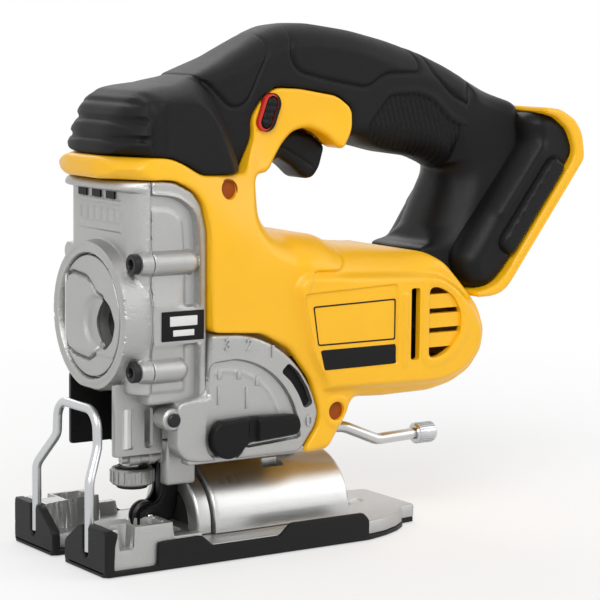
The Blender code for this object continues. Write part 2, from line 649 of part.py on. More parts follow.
def make_gearcase_rear():
    """The rear casting: gearbox, plunger bores, dial lobes and the legs round the blade clamp."""
    low = GEARCASE_SPLIT_X + GAP / 2
    half = GEARCASE_HALF
    section = [(-half, CASE_FLOOR_Z), (half, CASE_FLOOR_Z), (half, 140.0), (half - 7, GEARCASE_TOP_Z)]
    section += [(-half + 7, GEARCASE_TOP_Z), (-half, 140.0)]
    rear = plate("gearcase_rear", section, low, GEARCASE_BACK_X, "cast_aluminium", axis="X")
    corner = [(30.0, 153.0), (30.0, 148.2), (35.0, 147.6), (42.6, 143.7), (46.4, 138.8), (GEARCASE_BACK_X, 128.4)]
    corner += [(60.0, 128.4), (60.0, 153.0)]
    cut(rear, cutter_plate(corner, -50, 50))
    legs = [(-half, 40.0), (half, 40.0), (half, CASE_FLOOR_Z + 3), (-half, CASE_FLOOR_Z + 3)]
    join(rear, cutter_plate(legs, GEARCASE_SPLIT_X + 10.0, GEARCASE_BACK_X, "X"))
    inner = GEARCASE_HALF - 6.0
    bay = [(-inner, 30.0), (inner, 30.0), (inner, CASE_FLOOR_Z), (-inner, CASE_FLOOR_Z)]
    cut(rear, cutter_plate(bay, 0.0, GEARCASE_BACK_X - 4.0, "X"))
    for side in (-1, 1):
        near, far = sorted((side * LOBE_INNER, side * LOBE_OUTER))
        join(rear, cutter_plate(lobe_outline(), near, far))
        near, far = sorted((side * 12.5, side * 18.6))
        lug = [(37.5, 28.0), (51.5, 28.0), (51.5, 38.0), (GEARCASE_BACK_X, 45.0), (45.5, 45.0)]
        join(rear, cutter_plate(lug, near, far))
    # The gearbox, open towards the front casting
    ceiling = UPPER_BUSH_Z - 0.5
    boss_half = UPPER_BUSH_RADIUS + 4.0
    well = [(-GEARBOX_INNER, CASE_FLOOR_Z + 6), (GEARBOX_INNER, CASE_FLOOR_Z + 6), (GEARBOX_INNER, 138.0)]
    well += [(boss_half, 141.0), (boss_half, ceiling), (-boss_half, ceiling), (-boss_half, 141.0)]
    well += [(-GEARBOX_INNER, 138.0)]
    cut(rear, cutter_plate(well, low - 1, GEAR_FRONT_X + GEAR_WIDTH + TRAVEL_GAP, "X"))
    cut(rear, cutter_rod((PLUNGER_X, 0, 20.0), "Z", 60.0, BUSH_RADIUS + GAP))
    cut(rear, cutter_rod((PLUNGER_X, 0, ceiling - 1), "Z", 9.0, UPPER_BUSH_RADIUS + GAP))
    cut(rear, cutter_rod((PLUNGER_X, 0, ceiling), "Z", 147.4 - ceiling, PLUNGER_RADIUS + TRAVEL_GAP))
    cut(rear, cutter_rod((30.0, 0, MOTOR_Z), "X", 40.0, FRONT_BEARING_RADIUS + GAP))
    cut(rear, cutter_rod((40.0, 0, GEAR_Z), "X", 20.0, AXLE_RADIUS + GAP, 16))
    for y, z in CASE_SCREWS:
        join(rear, cutter_rod((low, y, z), "X", GEARCASE_BACK_X - low - 8, CASE_BOSS_RADIUS, 16))
        cut(rear, cutter_rod((low - 1, y, z), "X", 14.0, CASE_SCREW_RADIUS + GAP, 12))
    cut(rear, cutter_rod((ORBITAL_PIVOT[0], -50.0, ORBITAL_PIVOT[1]), "Y", 40.0, ORBITAL_SHAFT_RADIUS + GAP, 16))
    cut(rear, cutter_rod((ARM_PIVOT[0], -20.0, ARM_PIVOT[1]), "Y", 40.0, ARM_PIN_RADIUS + GAP, 16))
    return rear


def make_case_screws():
    for number, (y, z) in enumerate(CASE_SCREWS, start=1):
        profile = [(0, 3.6), (0.6, 4.0), (4.0, 4.0), (4.0 + GAP / 2, CASE_SCREW_RADIUS), (20.0, CASE_SCREW_RADIUS)]
        screw = turned(f"gearcase_screw_{number}", (BOSS_X - 2.0, y, z), "X", profile, "black_steel", 16)
        socket = arc((y, z), 1.9, 0, 300, 5)
        cut(screw, cutter_plate(socket, BOSS_X - 3.0, BOSS_X + 0.4, "X"))


def make_release_lever():
    """The blade release lever in the boss's recess, on its upright pin."""
    radius = BOSS_RECESS - 0.7
    edge = LEVER_AXIS_Y - LEVER_CHORD_INSET
    shoulder = edge - LEVER_SHOULDER_DEPTH
    chord = math.degrees(math.acos(shoulder / radius))
    disc = arc((0.0, BOSS_Z), radius, chord, 360 - chord, 30)
    corners = [(shoulder, -LEVER_TAB_HALF), (edge, -LEVER_TAB_HALF), (edge, LEVER_TAB_HALF), (shoulder, LEVER_TAB_HALF)]
    disc += [(y, BOSS_Z + z) for y, z in corners]
    lever = plate("blade_release_lever", disc, BOSS_X + 0.2, RECESS_FLOOR_X - GAP, "cast_aluminium", axis="X")
    axis_x = (BOSS_X + RECESS_FLOOR_X) / 2
    join(lever, cutter_rod((axis_x, LEVER_AXIS_Y, BOSS_Z - 11.0), "Z", 22.0, LEVER_KNUCKLE_RADIUS, 16))
    thumb = [(-28.0, 84.0), (-14.0, 83.0), (-6.0, 92.0), (-6.0, 101.0), (-11.0, 106.0), (-20.0, 103.0), (-28.0, 96.0)]
    cut(lever, cutter_plate(thumb, 0.0, 40.0, "X"))
    cut(lever, cutter_rod((axis_x, LEVER_AXIS_Y, 60.0), "Z", 70.0, LEVER_PIN_RADIUS + RUNNING, 12))
    set_origin(lever, (axis_x, LEVER_AXIS_Y, BOSS_Z))
    rod("lever_pin", (axis_x, LEVER_AXIS_Y, BOSS_Z - LEVER_PIN_REACH), "Z", 2 * LEVER_PIN_REACH,
        LEVER_PIN_RADIUS, "bright_steel", 12)


def make_guards():
    """The slotted steel guard beside the clamp and the dark chip deflector on the other side."""
    low = GEARCASE_SPLIT_X - GAP / 2
    outline = [(14.5, 40.5), (36.0, 40.5), (36.0, CASE_FLOOR_Z - GAP), (low, CASE_FLOOR_Z - GAP)]
    outline += [(low, LOW_EDGE_Z - GAP), (14.5, LOW_EDGE_Z - GAP)]
    guard = plate("clamp_guard", outline, -18.0, -16.4, "cast_aluminium")
    for x in (18.5, 28.0):
        cut(guard, cutter_box((x, -20.0, 44.0), (x + 4.0, -14.0, 59.5)))
    plate("chip_deflector", outline, 16.4, 18.6, "black_plastic")


def gear_outline(centre, radius, teeth):
    """Straight-flanked teeth round a pitch circle, as (y, z)."""
    depth = math.pi * radius / teeth * 0.62
    points = []
    for tooth in range(teeth):
        for part, reach in ((-0.32, -depth), (-0.12, depth * 0.8), (0.12, depth * 0.8), (0.32, -depth)):
            angle = 2 * math.pi * (tooth + part) / teeth
            y = centre[0] + (radius + reach) * math.cos(angle)
            points.append((y, centre[1] + (radius + reach) * math.sin(angle)))
    return points


def make_drive():
    """Pinion, drive gear with crank pin, its axle, the counterweight and the plunger with its yoke."""
    rear = GEAR_FRONT_X + GEAR_WIDTH
    crank_z = GEAR_Z - STROKE / 2
    centre = (0.0, GEAR_Z)
    teeth = gear_outline(centre, GEAR_RADIUS, GEAR_TEETH)
    gear = plate("drive_gear", teeth, GEAR_FRONT_X, rear, "bright_steel", axis="X")
    join(gear, cutter_rod((YOKE_REAR_X + GAP, 0, crank_z), "X", GEAR_FRONT_X - YOKE_REAR_X, PIN_RADIUS, 16))
    cut(gear, cutter_rod((30.0, 0, GEAR_Z), "X", 30.0, AXLE_RADIUS + RUNNING, 16))
    set_origin(gear, (rear, 0, GEAR_Z))
    rod("gear_axle", (GEAR_FRONT_X + 0.2, 0, GEAR_Z), "X", GEARCASE_BACK_X - GEAR_FRONT_X - 1.0, AXLE_RADIUS,
        "bright_steel", 16)
    weight = arc(centre, 14.0, 15, 165, 8) + arc(centre, 5.0, 165, 15, 4)
    piece = plate("counterweight", weight, YOKE_REAR_X + TRAVEL_GAP, GEAR_FRONT_X - GAP, "black_steel", axis="X")
    set_origin(piece, (rear, 0, GEAR_Z))
    pinion_half = 180.0 / PINION_TEETH
    teeth = gear_outline((0.0, 0.0), PINION_RADIUS, PINION_TEETH)
    turn = math.radians(90.0 - pinion_half)
    teeth = [
        (y * math.cos(turn) - z * math.sin(turn), MOTOR_Z + y * math.sin(turn) + z * math.cos(turn)) for y, z in teeth
    ]
    pinion = plate("pinion", teeth, GEAR_FRONT_X, rear + TRAVEL_GAP / 2, "bright_steel", axis="X")
    set_origin(pinion, (rear, 0, MOTOR_Z))
    plunger = rod("plunger_shaft", (PLUNGER_X, 0, PLUNGER_LOW_Z), "Z", PLUNGER_HIGH_Z - PLUNGER_LOW_Z, PLUNGER_RADIUS,
                  "bright_steel", 20, chamfer=0.5)
    yoke = cutter_box((YOKE_FRONT_X, -GEAR_RADIUS - 2, crank_z - 4.6), (YOKE_REAR_X, GEAR_RADIUS + 2, crank_z + 4.6))
    join(plunger, yoke)
    slot = cutter_box((YOKE_REAR_X - 1.4, -GEAR_RADIUS, crank_z - 2.6), (50.0, GEAR_RADIUS, crank_z + 2.6))
    cut(plunger, slot)
    set_origin(plunger, (PLUNGER_X, 0, crank_z))
    lower = rod("lower_bushing", (PLUNGER_X, 0, 60.0), "Z", 10.0, BUSH_RADIUS, "brass", 24)
    cut(lower, cutter_rod((PLUNGER_X, 0, 50.0), "Z", 40.0, PLUNGER_RADIUS + RUNNING, 24))
    upper = rod("upper_bushing", (PLUNGER_X, 0, UPPER_BUSH_Z), "Z", 7.0, UPPER_BUSH_RADIUS, "brass", 24)
    cut(upper, cutter_rod((PLUNGER_X, 0, 110.0), "Z", 40.0, PLUNGER_RADIUS + RUNNING, 24))


def make_clamp():
    """The blade clamp on the plunger's end and the collar that turns to free the blade."""
    body = rod("blade_clamp", (PLUNGER_X, 0, 25.0), "Z", 9.0, CLAMP_RADIUS, "black_steel", 20, chamfer=0.5)
    cut(body, cutter_rod((PLUNGER_X, 0, PLUNGER_LOW_Z - GAP), "Z", 20.0, PLUNGER_RADIUS + GAP, 20))
    cut(body, cutter_box((PLUNGER_X - 4.0, -0.9, 20.0), (PLUNGER_X + 4.0, 0.9, PLUNGER_LOW_Z + 1)))
    collar = rod("clamp_collar", (PLUNGER_X, 0, 26.5), "Z", 6.5, COLLAR_RADIUS, "bright_steel", 28, chamfer=0.6)
    cut(collar, cutter_rod((PLUNGER_X, 0, 20.0), "Z", 20.0, CLAMP_RADIUS + GAP, 20))
    set_origin(collar, (PLUNGER_X, 0, 30.0))


def make_blade_guide():
    """The arm that hangs from the gearcase lugs, its pin, and the grooved roller behind the blade."""
    outline = [
        (43.4, 33.0), (44.4, 37.2), (47.0, 38.4), (49.6, 37.6), (51.0, 34.3), (51.0, 16.0), (48.0, 11.0),
        (36.5, 9.8), (35.4, 15.0), (44.9, 19.6), (45.2, 27.0),
    ]
    arm = plate("roller_arm", outline, -ARM_HALF, ARM_HALF, "black_steel", 0.8, "low high")
    hollow = arc(ROLLER_AXIS, ROLLER_RADIUS + TRAVEL_GAP, 0, 345, 23)
    cut(arm, cutter_plate(hollow, -ROLLER_HALF - GAP, ROLLER_HALF + GAP))
    cut(arm, cutter_rod((ROLLER_AXIS[0], -20, ROLLER_AXIS[1]), "Y", 40.0, ROLLER_PIN_RADIUS + 0.2, 12))
    cut(arm, cutter_rod((ARM_PIVOT[0], -20, ARM_PIVOT[1]), "Y", 40.0, ARM_PIN_RADIUS + RUNNING, 12))
    set_origin(arm, (ARM_PIVOT[0], 0, ARM_PIVOT[1]))
    rod("arm_pin", (ARM_PIVOT[0], -18.0, ARM_PIVOT[1]), "Y", 36.0, ARM_PIN_RADIUS, "bright_steel", 12)
    pin = rod("roller_pin", (ROLLER_AXIS[0], -ARM_HALF + 0.2, ROLLER_AXIS[1]), "Y", 2 * ARM_HALF - 0.4,
              ROLLER_PIN_RADIUS, "bright_steel", 12)
    set_origin(pin, (ROLLER_AXIS[0], 0, ROLLER_AXIS[1]))
    profile = [(0, ROLLER_RADIUS - 0.4), (0.4, ROLLER_RADIUS), (1.7, ROLLER_RADIUS), (1.9, ROLLER_RADIUS - 1.2),
               (3.1, ROLLER_RADIUS - 1.2), (3.3, ROLLER_RADIUS), (4.6, ROLLER_RADIUS), (5.0, ROLLER_RADIUS - 0.4)]
    roller = turned("guide_roller", (ROLLER_AXIS[0], -ROLLER_HALF, ROLLER_AXIS[1]), "Y", profile, "bright_steel", 24)
    cut(roller, cutter_rod((ROLLER_AXIS[0], -10, ROLLER_AXIS[1]), "Y", 20.0, ROLLER_PIN_RADIUS + 0.2, 12))
    set_origin(roller, (ROLLER_AXIS[0], 0, ROLLER_AXIS[1]))


def make_orbital_lever():
    """The flat paddle that sets the orbital stroke, on a shaft through the left lobe."""
    x, z = ORBITAL_PIVOT
    low = -LOBE_OUTER - GAP - 3.6
    hub = arc((x, z), 6.7, 50, 310, 12)
    paddle = hub + [(x + 26.0, z - 4.6), (x + 31.0, z - 3.6), (x + 32.5, z), (x + 31.0, z + 3.6), (x + 26.0, z + 4.6)]
    lever = plate("orbital_lever", paddle, low, -LOBE_OUTER - GAP, "black_plastic", 0.8, "low")
    join(lever, cutter_rod((x, -LOBE_OUTER - 1, z), "Y", LOBE_OUTER - 12.0, ORBITAL_SHAFT_RADIUS, 16))
    set_origin(lever, (x, 0, z))


def make_motor():
    """The motor: armature, commutator, fan, bearings, brushes, field can and end bell, all along one axis."""
    shaft_start = GEAR_FRONT_X + GEAR_WIDTH + TRAVEL_GAP
    radius = 2.5
    profile = [(shaft_start, radius), (118.0, radius), (118.2, 13.2), (144.0, 13.2), (144.2, radius), (163.0, radius)]
    armature = turned("armature", (0, 0, MOTOR_Z), "X", profile, "bright_steel", 20)
    set_origin(armature, (120.0, 0, MOTOR_Z))
    ring_cut = radius + 0.1

    def ring(name, start, length, outer, finish, sides=20):
        made = rod(name, (start, 0, MOTOR_Z), "X", length, outer, finish, sides)
        cut(made, cutter_rod((start - 2, 0, MOTOR_Z), "X", length + 4, ring_cut, 16))
        return set_origin(made, (120.0, 0, MOTOR_Z))

    ring("commutator", 146.0, 9.0, 7.5, "copper")
    fan = ring("motor_fan", 104.6, 1.6, 17.0, "black_plastic", 32)
    fan_blades = 9
    for number in range(fan_blades):
        angle = 360.0 * number / fan_blades
        inner = arc((0.0, MOTOR_Z), 6.0, angle, angle + 10, 1)
        outer = arc((0.0, MOTOR_Z), 16.6, angle + 4, angle, 1)
        blade = plate_mesh(inner + outer, 0.6, 4.6, axis="X")
        cutter = new_object("cutter", blade, None, CUTTERS)
        cutter.location.x = 105.0 * MM
        join(fan, cutter)
    ring("front_bearing", 46.6, 5.4, FRONT_BEARING_RADIUS, "bright_steel")
    ring("rear_bearing", MOTOR_REAR_X + GAP, END_BELL_WIDTH, 6.5, "bright_steel")
    can_length = MOTOR_REAR_X - MOTOR_FRONT_X
    can = rod("motor_can", (MOTOR_FRONT_X, 0, MOTOR_Z), "X", can_length, MOTOR_RADIUS, "black_steel", 32)
    cut(can, cutter_rod((MOTOR_FRONT_X - 1, 0, MOTOR_Z), "X", 80.0, 13.9, 24))
    bell_place = (MOTOR_REAR_X + GAP, 0, MOTOR_Z)
    bell = rod("end_bell", bell_place, "X", END_BELL_WIDTH, END_BELL_RADIUS, "black_plastic", 24)
    cut(bell, cutter_rod((MOTOR_REAR_X - 2, 0, MOTOR_Z), "X", 10.0, 6.8, 20))
    for side, name in ((-1, "left_brush"), (1, "right_brush")):
        near, far = sorted((side * 7.8, side * 13.4))
        box(name, (147.0, near, MOTOR_Z - 2.6), (154.0, far, MOTOR_Z + 2.6), "black_plastic")


def make_controls():
    """Speed switch, trigger, its return spring and the lock button through the frame."""
    box("speed_switch", (91.0, -SWITCH_HALF, 171.6), (116.0, SWITCH_HALF, 192.0), "black_plastic", fillet=0.8)
    half = TRIGGER_WIDTH / 2
    trigger = plate("trigger", trigger_outline(), -half, half, "black_plastic", 1.6, "low high")
    set_origin(trigger, (104.0, 0, 165.0))
    spring = rod("trigger_spring", (104.0, 0, 166.0), "Z", 5.2, 3.2, "bright_steel", 16)
    cut(spring, cutter_rod((104.0, 0, 160.0), "Z", 20.0, 2.2, 12))
    button = plate("lock_off_button", button_outline(), -GRIP_HALF - 0.6, GRIP_HALF + 0.6, "black_plastic")
    set_origin(button, (BUTTON_CENTRE[0], 0, BUTTON_CENTRE[1]))


def make_bevel_clamp():
    """The clamp screw over the quadrant, its bent lever and the knurled knob on the end."""
    rod("bevel_clamp_screw", (LEVER_PIVOT_X, 0, 33.0 + 0.5), "Z", 21.0, LEVER_SHAFT_RADIUS, "bright_steel", 16)
    hub_height = LEVER_HUB_TOP - LEVER_HUB_LOW - 1
    hub_place = (LEVER_PIVOT_X, 0, LEVER_HUB_LOW)
    hub = rod("bevel_lever", hub_place, "Z", hub_height, LEVER_HUB_RADIUS, "bright_steel", 20)
    corners = [(LEVER_PIVOT_X + 3, -1.5, 42.0), (128.0, -10.0, 42.0), (145.0, -10.0, 35.0), (164.0, -10.0, 35.6)]
    path = rounded_path(corners, 6.0)
    join(hub, wire("cutter", path, LEVER_ROD_RADIUS, collection=CUTTERS))
    cut(hub, cutter_rod((LEVER_PIVOT_X, 0, 30.0), "Z", 30.0, LEVER_SHAFT_RADIUS + RUNNING, 16))
    set_origin(hub, (LEVER_PIVOT_X, 0, 40.0))
    knob = rod("lever_knob", (164.0 + GAP, -10.0, 35.6), "X", 10.0, 4.6, "bright_steel", 24, chamfer=0.8)
    set_origin(knob, (LEVER_PIVOT_X, 0, 40.0))


def shoe_plan(half, front):
    """The cast shoe seen from above, (x, y), with its narrow rounded tail."""
    rear = SHOE_LENGTH
    side = [(front, half), (SKIRT_REAR_X, half), (SKIRT_REAR_X + 9, half - 4)]
    side += [(rear - 6, TAB_HALF + 4), (rear, TAB_HALF)]
    return side + [(x, -y) for x, y in reversed(side)]


def make_shoe():
    """The cast shoe, its plastic cover, the bevel quadrant on it and the wire finger guard."""
    half = SHOE_WIDTH / 2 - SKIRT_WALL - GAP
    front = COVER_WALL + GAP
    shoe = plate("shoe_plate", shoe_plan(half, front), SKIN + GAP, SKIN + SHOE_THICKNESS, "cast_aluminium", axis="Z")
    for side in (-1, 1):
        near, far = sorted((side * (NOTCH_HALF + 6.0), side * half))
        block = [(front, SKIN + 1), (front, BLOCK_HEIGHT), (BLOCK_REAR_X, BLOCK_HEIGHT), (BLOCK_REAR_X + 7, 7.0),
                 (BLOCK_REAR_X + 7, SKIN + 1)]
        join(shoe, cutter_plate(block, near, far))
        near, far = sorted((side * (NOTCH_HALF + 9.0), side * (half - 2.6)))
        cut(shoe, cutter_box((front + 5.0, near, 8.5), (BLOCK_REAR_X - 3.0, far, 30.0)))
        cut(shoe, cutter_rod((WIRE_X, side * WIRE_Y, 3.0), "Z", 30.0, WIRE_RADIUS + GAP, 12))
        # The block's inner edge slopes down, so that the tilting shoe clears the blade clamp
        slope = [(side * y, z) for y, z in ((14.0, 13.0), (17.0, 13.0), (22.4, 18.5), (22.4, 22.0), (14.0, 22.0))]
        cut(shoe, cutter_plate(slope, PLUNGER_X - COLLAR_RADIUS - 1.0, PLUNGER_X + COLLAR_RADIUS, "X"))
    blade_slot = [(-5.0, -NOTCH_HALF), (50.5, -NOTCH_HALF), (52.0, -6.0)]
    blade_slot += [(x, -y) for x, y in reversed(blade_slot)]
    cut(shoe, cutter_plate(blade_slot, -5.0, 30.0, "Z"))
    # The half-round bevel quadrant lies along the shoe and turns with it
    round_top = arc((0.0, BEVEL_AXIS_Z), QUADRANT_RADIUS, 0, 180, 20)
    quadrant_low = SKIN + SHOE_THICKNESS + GAP
    section = [(QUADRANT_RADIUS, quadrant_low)] + round_top + [(-QUADRANT_RADIUS, quadrant_low)]
    ends = (QUADRANT_FRONT_X, QUADRANT_REAR_X)
    quadrant = plate("bevel_quadrant", section, *ends, "cast_aluminium", 1.0, "low high", "X")
    hollow = arc((0.0, BEVEL_AXIS_Z), QUADRANT_RADIUS - 4.0, 0, 180, 16)
    hollow = [(QUADRANT_RADIUS - 4.0, 0.0)] + hollow + [(-QUADRANT_RADIUS + 4.0, 0.0)]
    cut(quadrant, cutter_plate(hollow, QUADRANT_FRONT_X + 4.0, QUADRANT_REAR_X - 4.0, "X"))
    pivot = (QUADRANT_FRONT_X, 0.0, BEVEL_AXIS_Z)
    set_origin(quadrant, pivot)
    set_origin(shoe, pivot)
    cover = make_shoe_cover()
    set_origin(cover, pivot)
    guard = make_finger_guard()
    set_origin(guard, pivot)


def make_shoe_cover():
    """The thin plastic cover: sole skin, side skirts and the notched front wall."""
    half = SHOE_WIDTH / 2
    plan = [(0.0, half), (SKIRT_REAR_X, half), (SKIRT_REAR_X, -half), (0.0, -half)]
    cover = plate("shoe_cover", plan, SOLE_Z, SKIN, "black_plastic", axis="Z")
    profile = [
        (0.0, 0.4), (0.0, BLOCK_HEIGHT), (COVER_WALL, BLOCK_HEIGHT), (COVER_WALL, SKIRT_HEIGHT - 3),
        (27.0, SKIRT_HEIGHT - 3), (28.0, SKIRT_HEIGHT), (43.0, SKIRT_HEIGHT), (48.0, 7.0), (79.0, 7.0),
        (84.0, SKIRT_HEIGHT), (118.0, SKIRT_HEIGHT), (SKIRT_REAR_X, 8.0), (SKIRT_REAR_X, 0.4),
    ]
    for side in (-1, 1):
        near, far = sorted((side * half, side * (half - SKIRT_WALL)))
        join(cover, cutter_plate(profile, near, far))
        near, far = sorted((side * (NOTCH_HALF + 1.0), side * (half - 0.2)))
        join(cover, cutter_box((0.0, near, 0.4), (COVER_WALL, far, BLOCK_HEIGHT)))
        cut(cover, cutter_rod((WIRE_X, side * WIRE_Y, 4.0), "Z", 30.0, WIRE_RADIUS + GAP, 12))
    notch = [(-5.0, -NOTCH_HALF - 1), (52.0, -NOTCH_HALF - 1), (52.0, NOTCH_HALF + 1), (-5.0, NOTCH_HALF + 1)]
    cut(cover, cutter_plate(notch, -5.0, 30.0, "Z"))
    return cover


def make_finger_guard():
    """The bent wire in front of the blade, its legs in the shoe's front bores."""
    near = [(WIRE_X, WIRE_Y, 5.0), (WIRE_X, WIRE_Y, 24.0), (9.0, 17.0, 36.0), (9.0, 14.5, WIRE_TOP - WIRE_RADIUS)]
    corners = near + [(x, -y, z) for x, y, z in reversed(near)]
    return wire("finger_guard", rounded_path(corners, 6.5), WIRE_RADIUS, "bright_steel")


def smooth_round_sides():
    for obj in bpy.data.collections[PARTS].objects:
        if obj.type == "MESH":
            obj.data.shade_smooth()
            obj.data.set_sharp_from_angle(angle=math.radians(35))


def main():
    clear_scene()
    new_collection(PARTS)
    new_collection(CUTTERS)
    make_housings()
    make_housing_screws()
    make_grips()
    make_nose()
    make_battery_foot()
    make_gearcase_front()
    make_gearcase_rear()
    make_case_screws()
    make_release_lever()
    make_guards()
    make_drive()
    make_clamp()
    make_blade_guide()
    make_orbital_lever()
    make_motor()
    make_controls()
    make_bevel_clamp()
    make_shoe()
    smooth_round_sides()
    frame = bpy.data.objects.new("frame", None)
    bpy.data.collections[PARTS].objects.link(frame)
    frame.location = (-LENGTH / 2 * MM, 0.0, 0.0)
    for obj in bpy.data.collections[PARTS].objects:
        if obj is not frame:
            obj.parent = frame


main()
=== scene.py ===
"""Cordless jigsaw: the visible surfaces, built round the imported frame.

Lengths in the sizes are millimetres. x is counted from the front edge of the shoe towards the battery,
-y is the tool's left side and z = 0 is the sole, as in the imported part; place() turns them into metres.
"""

import json
import logging
import math
from collections.abc import Callable, Iterable, Sequence
from dataclasses import dataclass, field
from enum import Enum
from functools import cache

import bmesh
import bpy
import numpy as np
from mathutils import Matrix, Vector
from mathutils.geometry import delaunay_2d_cdt


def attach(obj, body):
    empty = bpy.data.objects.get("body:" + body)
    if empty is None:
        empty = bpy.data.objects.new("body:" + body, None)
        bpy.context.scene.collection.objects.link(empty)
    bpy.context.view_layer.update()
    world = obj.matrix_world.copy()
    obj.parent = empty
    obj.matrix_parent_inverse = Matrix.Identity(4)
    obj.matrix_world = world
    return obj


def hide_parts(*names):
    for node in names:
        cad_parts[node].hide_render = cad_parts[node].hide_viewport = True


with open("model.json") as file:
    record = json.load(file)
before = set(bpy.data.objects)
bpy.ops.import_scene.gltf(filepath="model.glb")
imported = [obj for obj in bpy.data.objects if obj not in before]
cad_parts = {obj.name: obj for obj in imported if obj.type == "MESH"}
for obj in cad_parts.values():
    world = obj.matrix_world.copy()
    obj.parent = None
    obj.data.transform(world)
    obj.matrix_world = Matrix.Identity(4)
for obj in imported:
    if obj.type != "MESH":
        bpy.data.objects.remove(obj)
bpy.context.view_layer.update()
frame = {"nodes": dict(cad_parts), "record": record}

LOG = logging.getLogger("jigsaw")

MM = 0.001
HALF_LENGTH = 117.0

Array = np.ndarray
Piece = bpy.types.Object
Socket = bpy.types.NodeSocket
Pair = tuple[float, float]
Triple = tuple[float, float, float]
Height = Callable[[Array, Array], Array]


def place(x: float, y: float, z: float) -> Vector:
    """The world point of a place on the tool given in millimetres."""
    return Vector(((x - HALF_LENGTH) * MM, y * MM, z * MM))


BATCH = 4000  # points compared with a line at once


class Facing(Enum):
    """The way a relief's surface looks, with the axes its outline lies in."""

    LEFT = "left"
    RIGHT = "right"
    FRONT = "front"
    UP = "up"

    def points(self, u: Array, v: Array, height: Array) -> Array:
        """World points at (u, v) on the outline's plane and these heights over it."""
        columns = {
            Facing.LEFT: (u - HALF_LENGTH, -height, v),
            Facing.RIGHT: (u - HALF_LENGTH, height, v),
            Facing.FRONT: (-height - HALF_LENGTH, u, v),
            Facing.UP: (u - HALF_LENGTH, v, height),
        }[self]
        return np.stack(columns, axis=1) * MM

    @property
    def flips(self) -> bool:
        """Whether a face that runs anticlockwise on the plane points inwards."""
        return self in (Facing.RIGHT, Facing.FRONT)


# ---------------------------------------------------------------- outlines


def rounded(corners: Sequence[Pair], radius: float, steps: int = 5, closed: bool = True) -> Array:
    """The corners joined by straight lines, each corner replaced by a short curve.

    Args:
        corners: The corner points in order.
        radius: How far before and after a corner its curve starts and ends.
        steps: Segments in each curve.
        closed: Whether the last corner joins the first.

    Returns:
        The points, one row each.
    """
    points = [np.array(corner, float) for corner in corners]
    made = []
    for index, corner in enumerate(points):
        if not closed and index in (0, len(points) - 1):
            made.append(corner)
            continue
        before = points[index - 1] - corner
        after = points[(index + 1) % len(points)] - corner
        reach = min(radius, np.linalg.norm(before) * 0.48, np.linalg.norm(after) * 0.48)
        start = corner + before / np.linalg.norm(before) * reach
        end = corner + after / np.linalg.norm(after) * reach
        for step in range(steps + 1):
            t = step / steps
            made.append(start * (1 - t) ** 2 + corner * 2 * t * (1 - t) + end * t * t)
    return np.array(made)


def resampled(points: Array, spacing: float, closed: bool = True) -> Array:
    """The same line with points an even distance apart."""
    line = np.vstack([points, points[:1]]) if closed else points
    lengths = np.r_[0, np.cumsum(np.linalg.norm(np.diff(line, axis=0), axis=1))]
    count = max(int(round(lengths[-1] / spacing)), 4)
    at = np.linspace(0, lengths[-1], count + 1)
    if closed:
        at = at[:-1]
    return np.stack([np.interp(at, lengths, line[:, 0]), np.interp(at, lengths, line[:, 1])], axis=1)


def circle(centre: Pair, radius: float, count: int = 48) -> Array:
    """Points round a circle."""
    angles = np.linspace(0, 2 * math.pi, count, endpoint=False)
    return np.stack([centre[0] + radius * np.cos(angles), centre[1] + radius * np.sin(angles)], axis=1)


def bend(centre: Pair, radius: float, start: float, end: float, steps: int = 10) -> list[Pair]:
    """Points along an arc, its angles in degrees."""
    angles = [math.radians(start + (end - start) * step / steps) for step in range(steps + 1)]
    return [(centre[0] + radius * math.cos(a), centre[1] + radius * math.sin(a)) for a in angles]


def distance_to(points: Array, line: Array, closed: bool = True) -> Array:
    """How far each point lies from a line of segments."""
    start = line if closed else line[:-1]
    end = np.roll(line, -1, axis=0) if closed else line[1:]
    along = (end - start).astype(np.float32)
    square = np.maximum((along**2).sum(axis=1), 1e-9)
    best = np.empty(len(points), np.float32)
    for low in range(0, len(points), BATCH):
        offset = points[low : low + BATCH, None, :].astype(np.float32) - start[None].astype(np.float32)
        share = np.clip((offset * along).sum(axis=2) / square, 0, 1)
        gap = offset - share[..., None] * along
        best[low : low + BATCH] = np.sqrt((gap**2).sum(axis=2)).min(axis=1)
    return best.astype(float)


def inside(points: Array, loop: Array) -> Array:
    """Whether each point lies within a closed loop."""
    after = np.roll(loop, -1, axis=0)
    result = np.zeros(len(points), bool)
    for low in range(0, len(points), BATCH):
        part = points[low : low + BATCH]
        x, z = part[:, :1], part[:, 1:]
        crosses = (loop[None, :, 1] > z) != (after[None, :, 1] > z)
        slope = (after[:, 0] - loop[:, 0]) / np.where(
            after[:, 1] == loop[:, 1], 1e-9, after[:, 1] - loop[:, 1]
        )
        meets = loop[None, :, 0] + (z - loop[None, :, 1]) * slope[None]
        result[low : low + BATCH] = (crosses & (x < meets)).sum(axis=1) % 2 == 1
    return result


def depth_in(points: Array, loop: Array) -> Array:
    """How deep each point lies inside a loop, negative outside it."""
    return np.where(inside(points, loop), 1.0, -1.0) * distance_to(points, loop)


def offset_line(line: Array, reach: float, closed: bool = True) -> Array:
    """The line's points moved sideways along their normals."""
    if closed:
        tangent = np.roll(line, -1, axis=0) - np.roll(line, 1, axis=0)
    else:
        tangent = np.gradient(line, axis=0)
    tangent = tangent / np.maximum(np.linalg.norm(tangent, axis=1, keepdims=True), 1e-9)
    return line + np.stack([-tangent[:, 1], tangent[:, 0]], axis=1) * reach


# ---------------------------------------------------------------- height rules


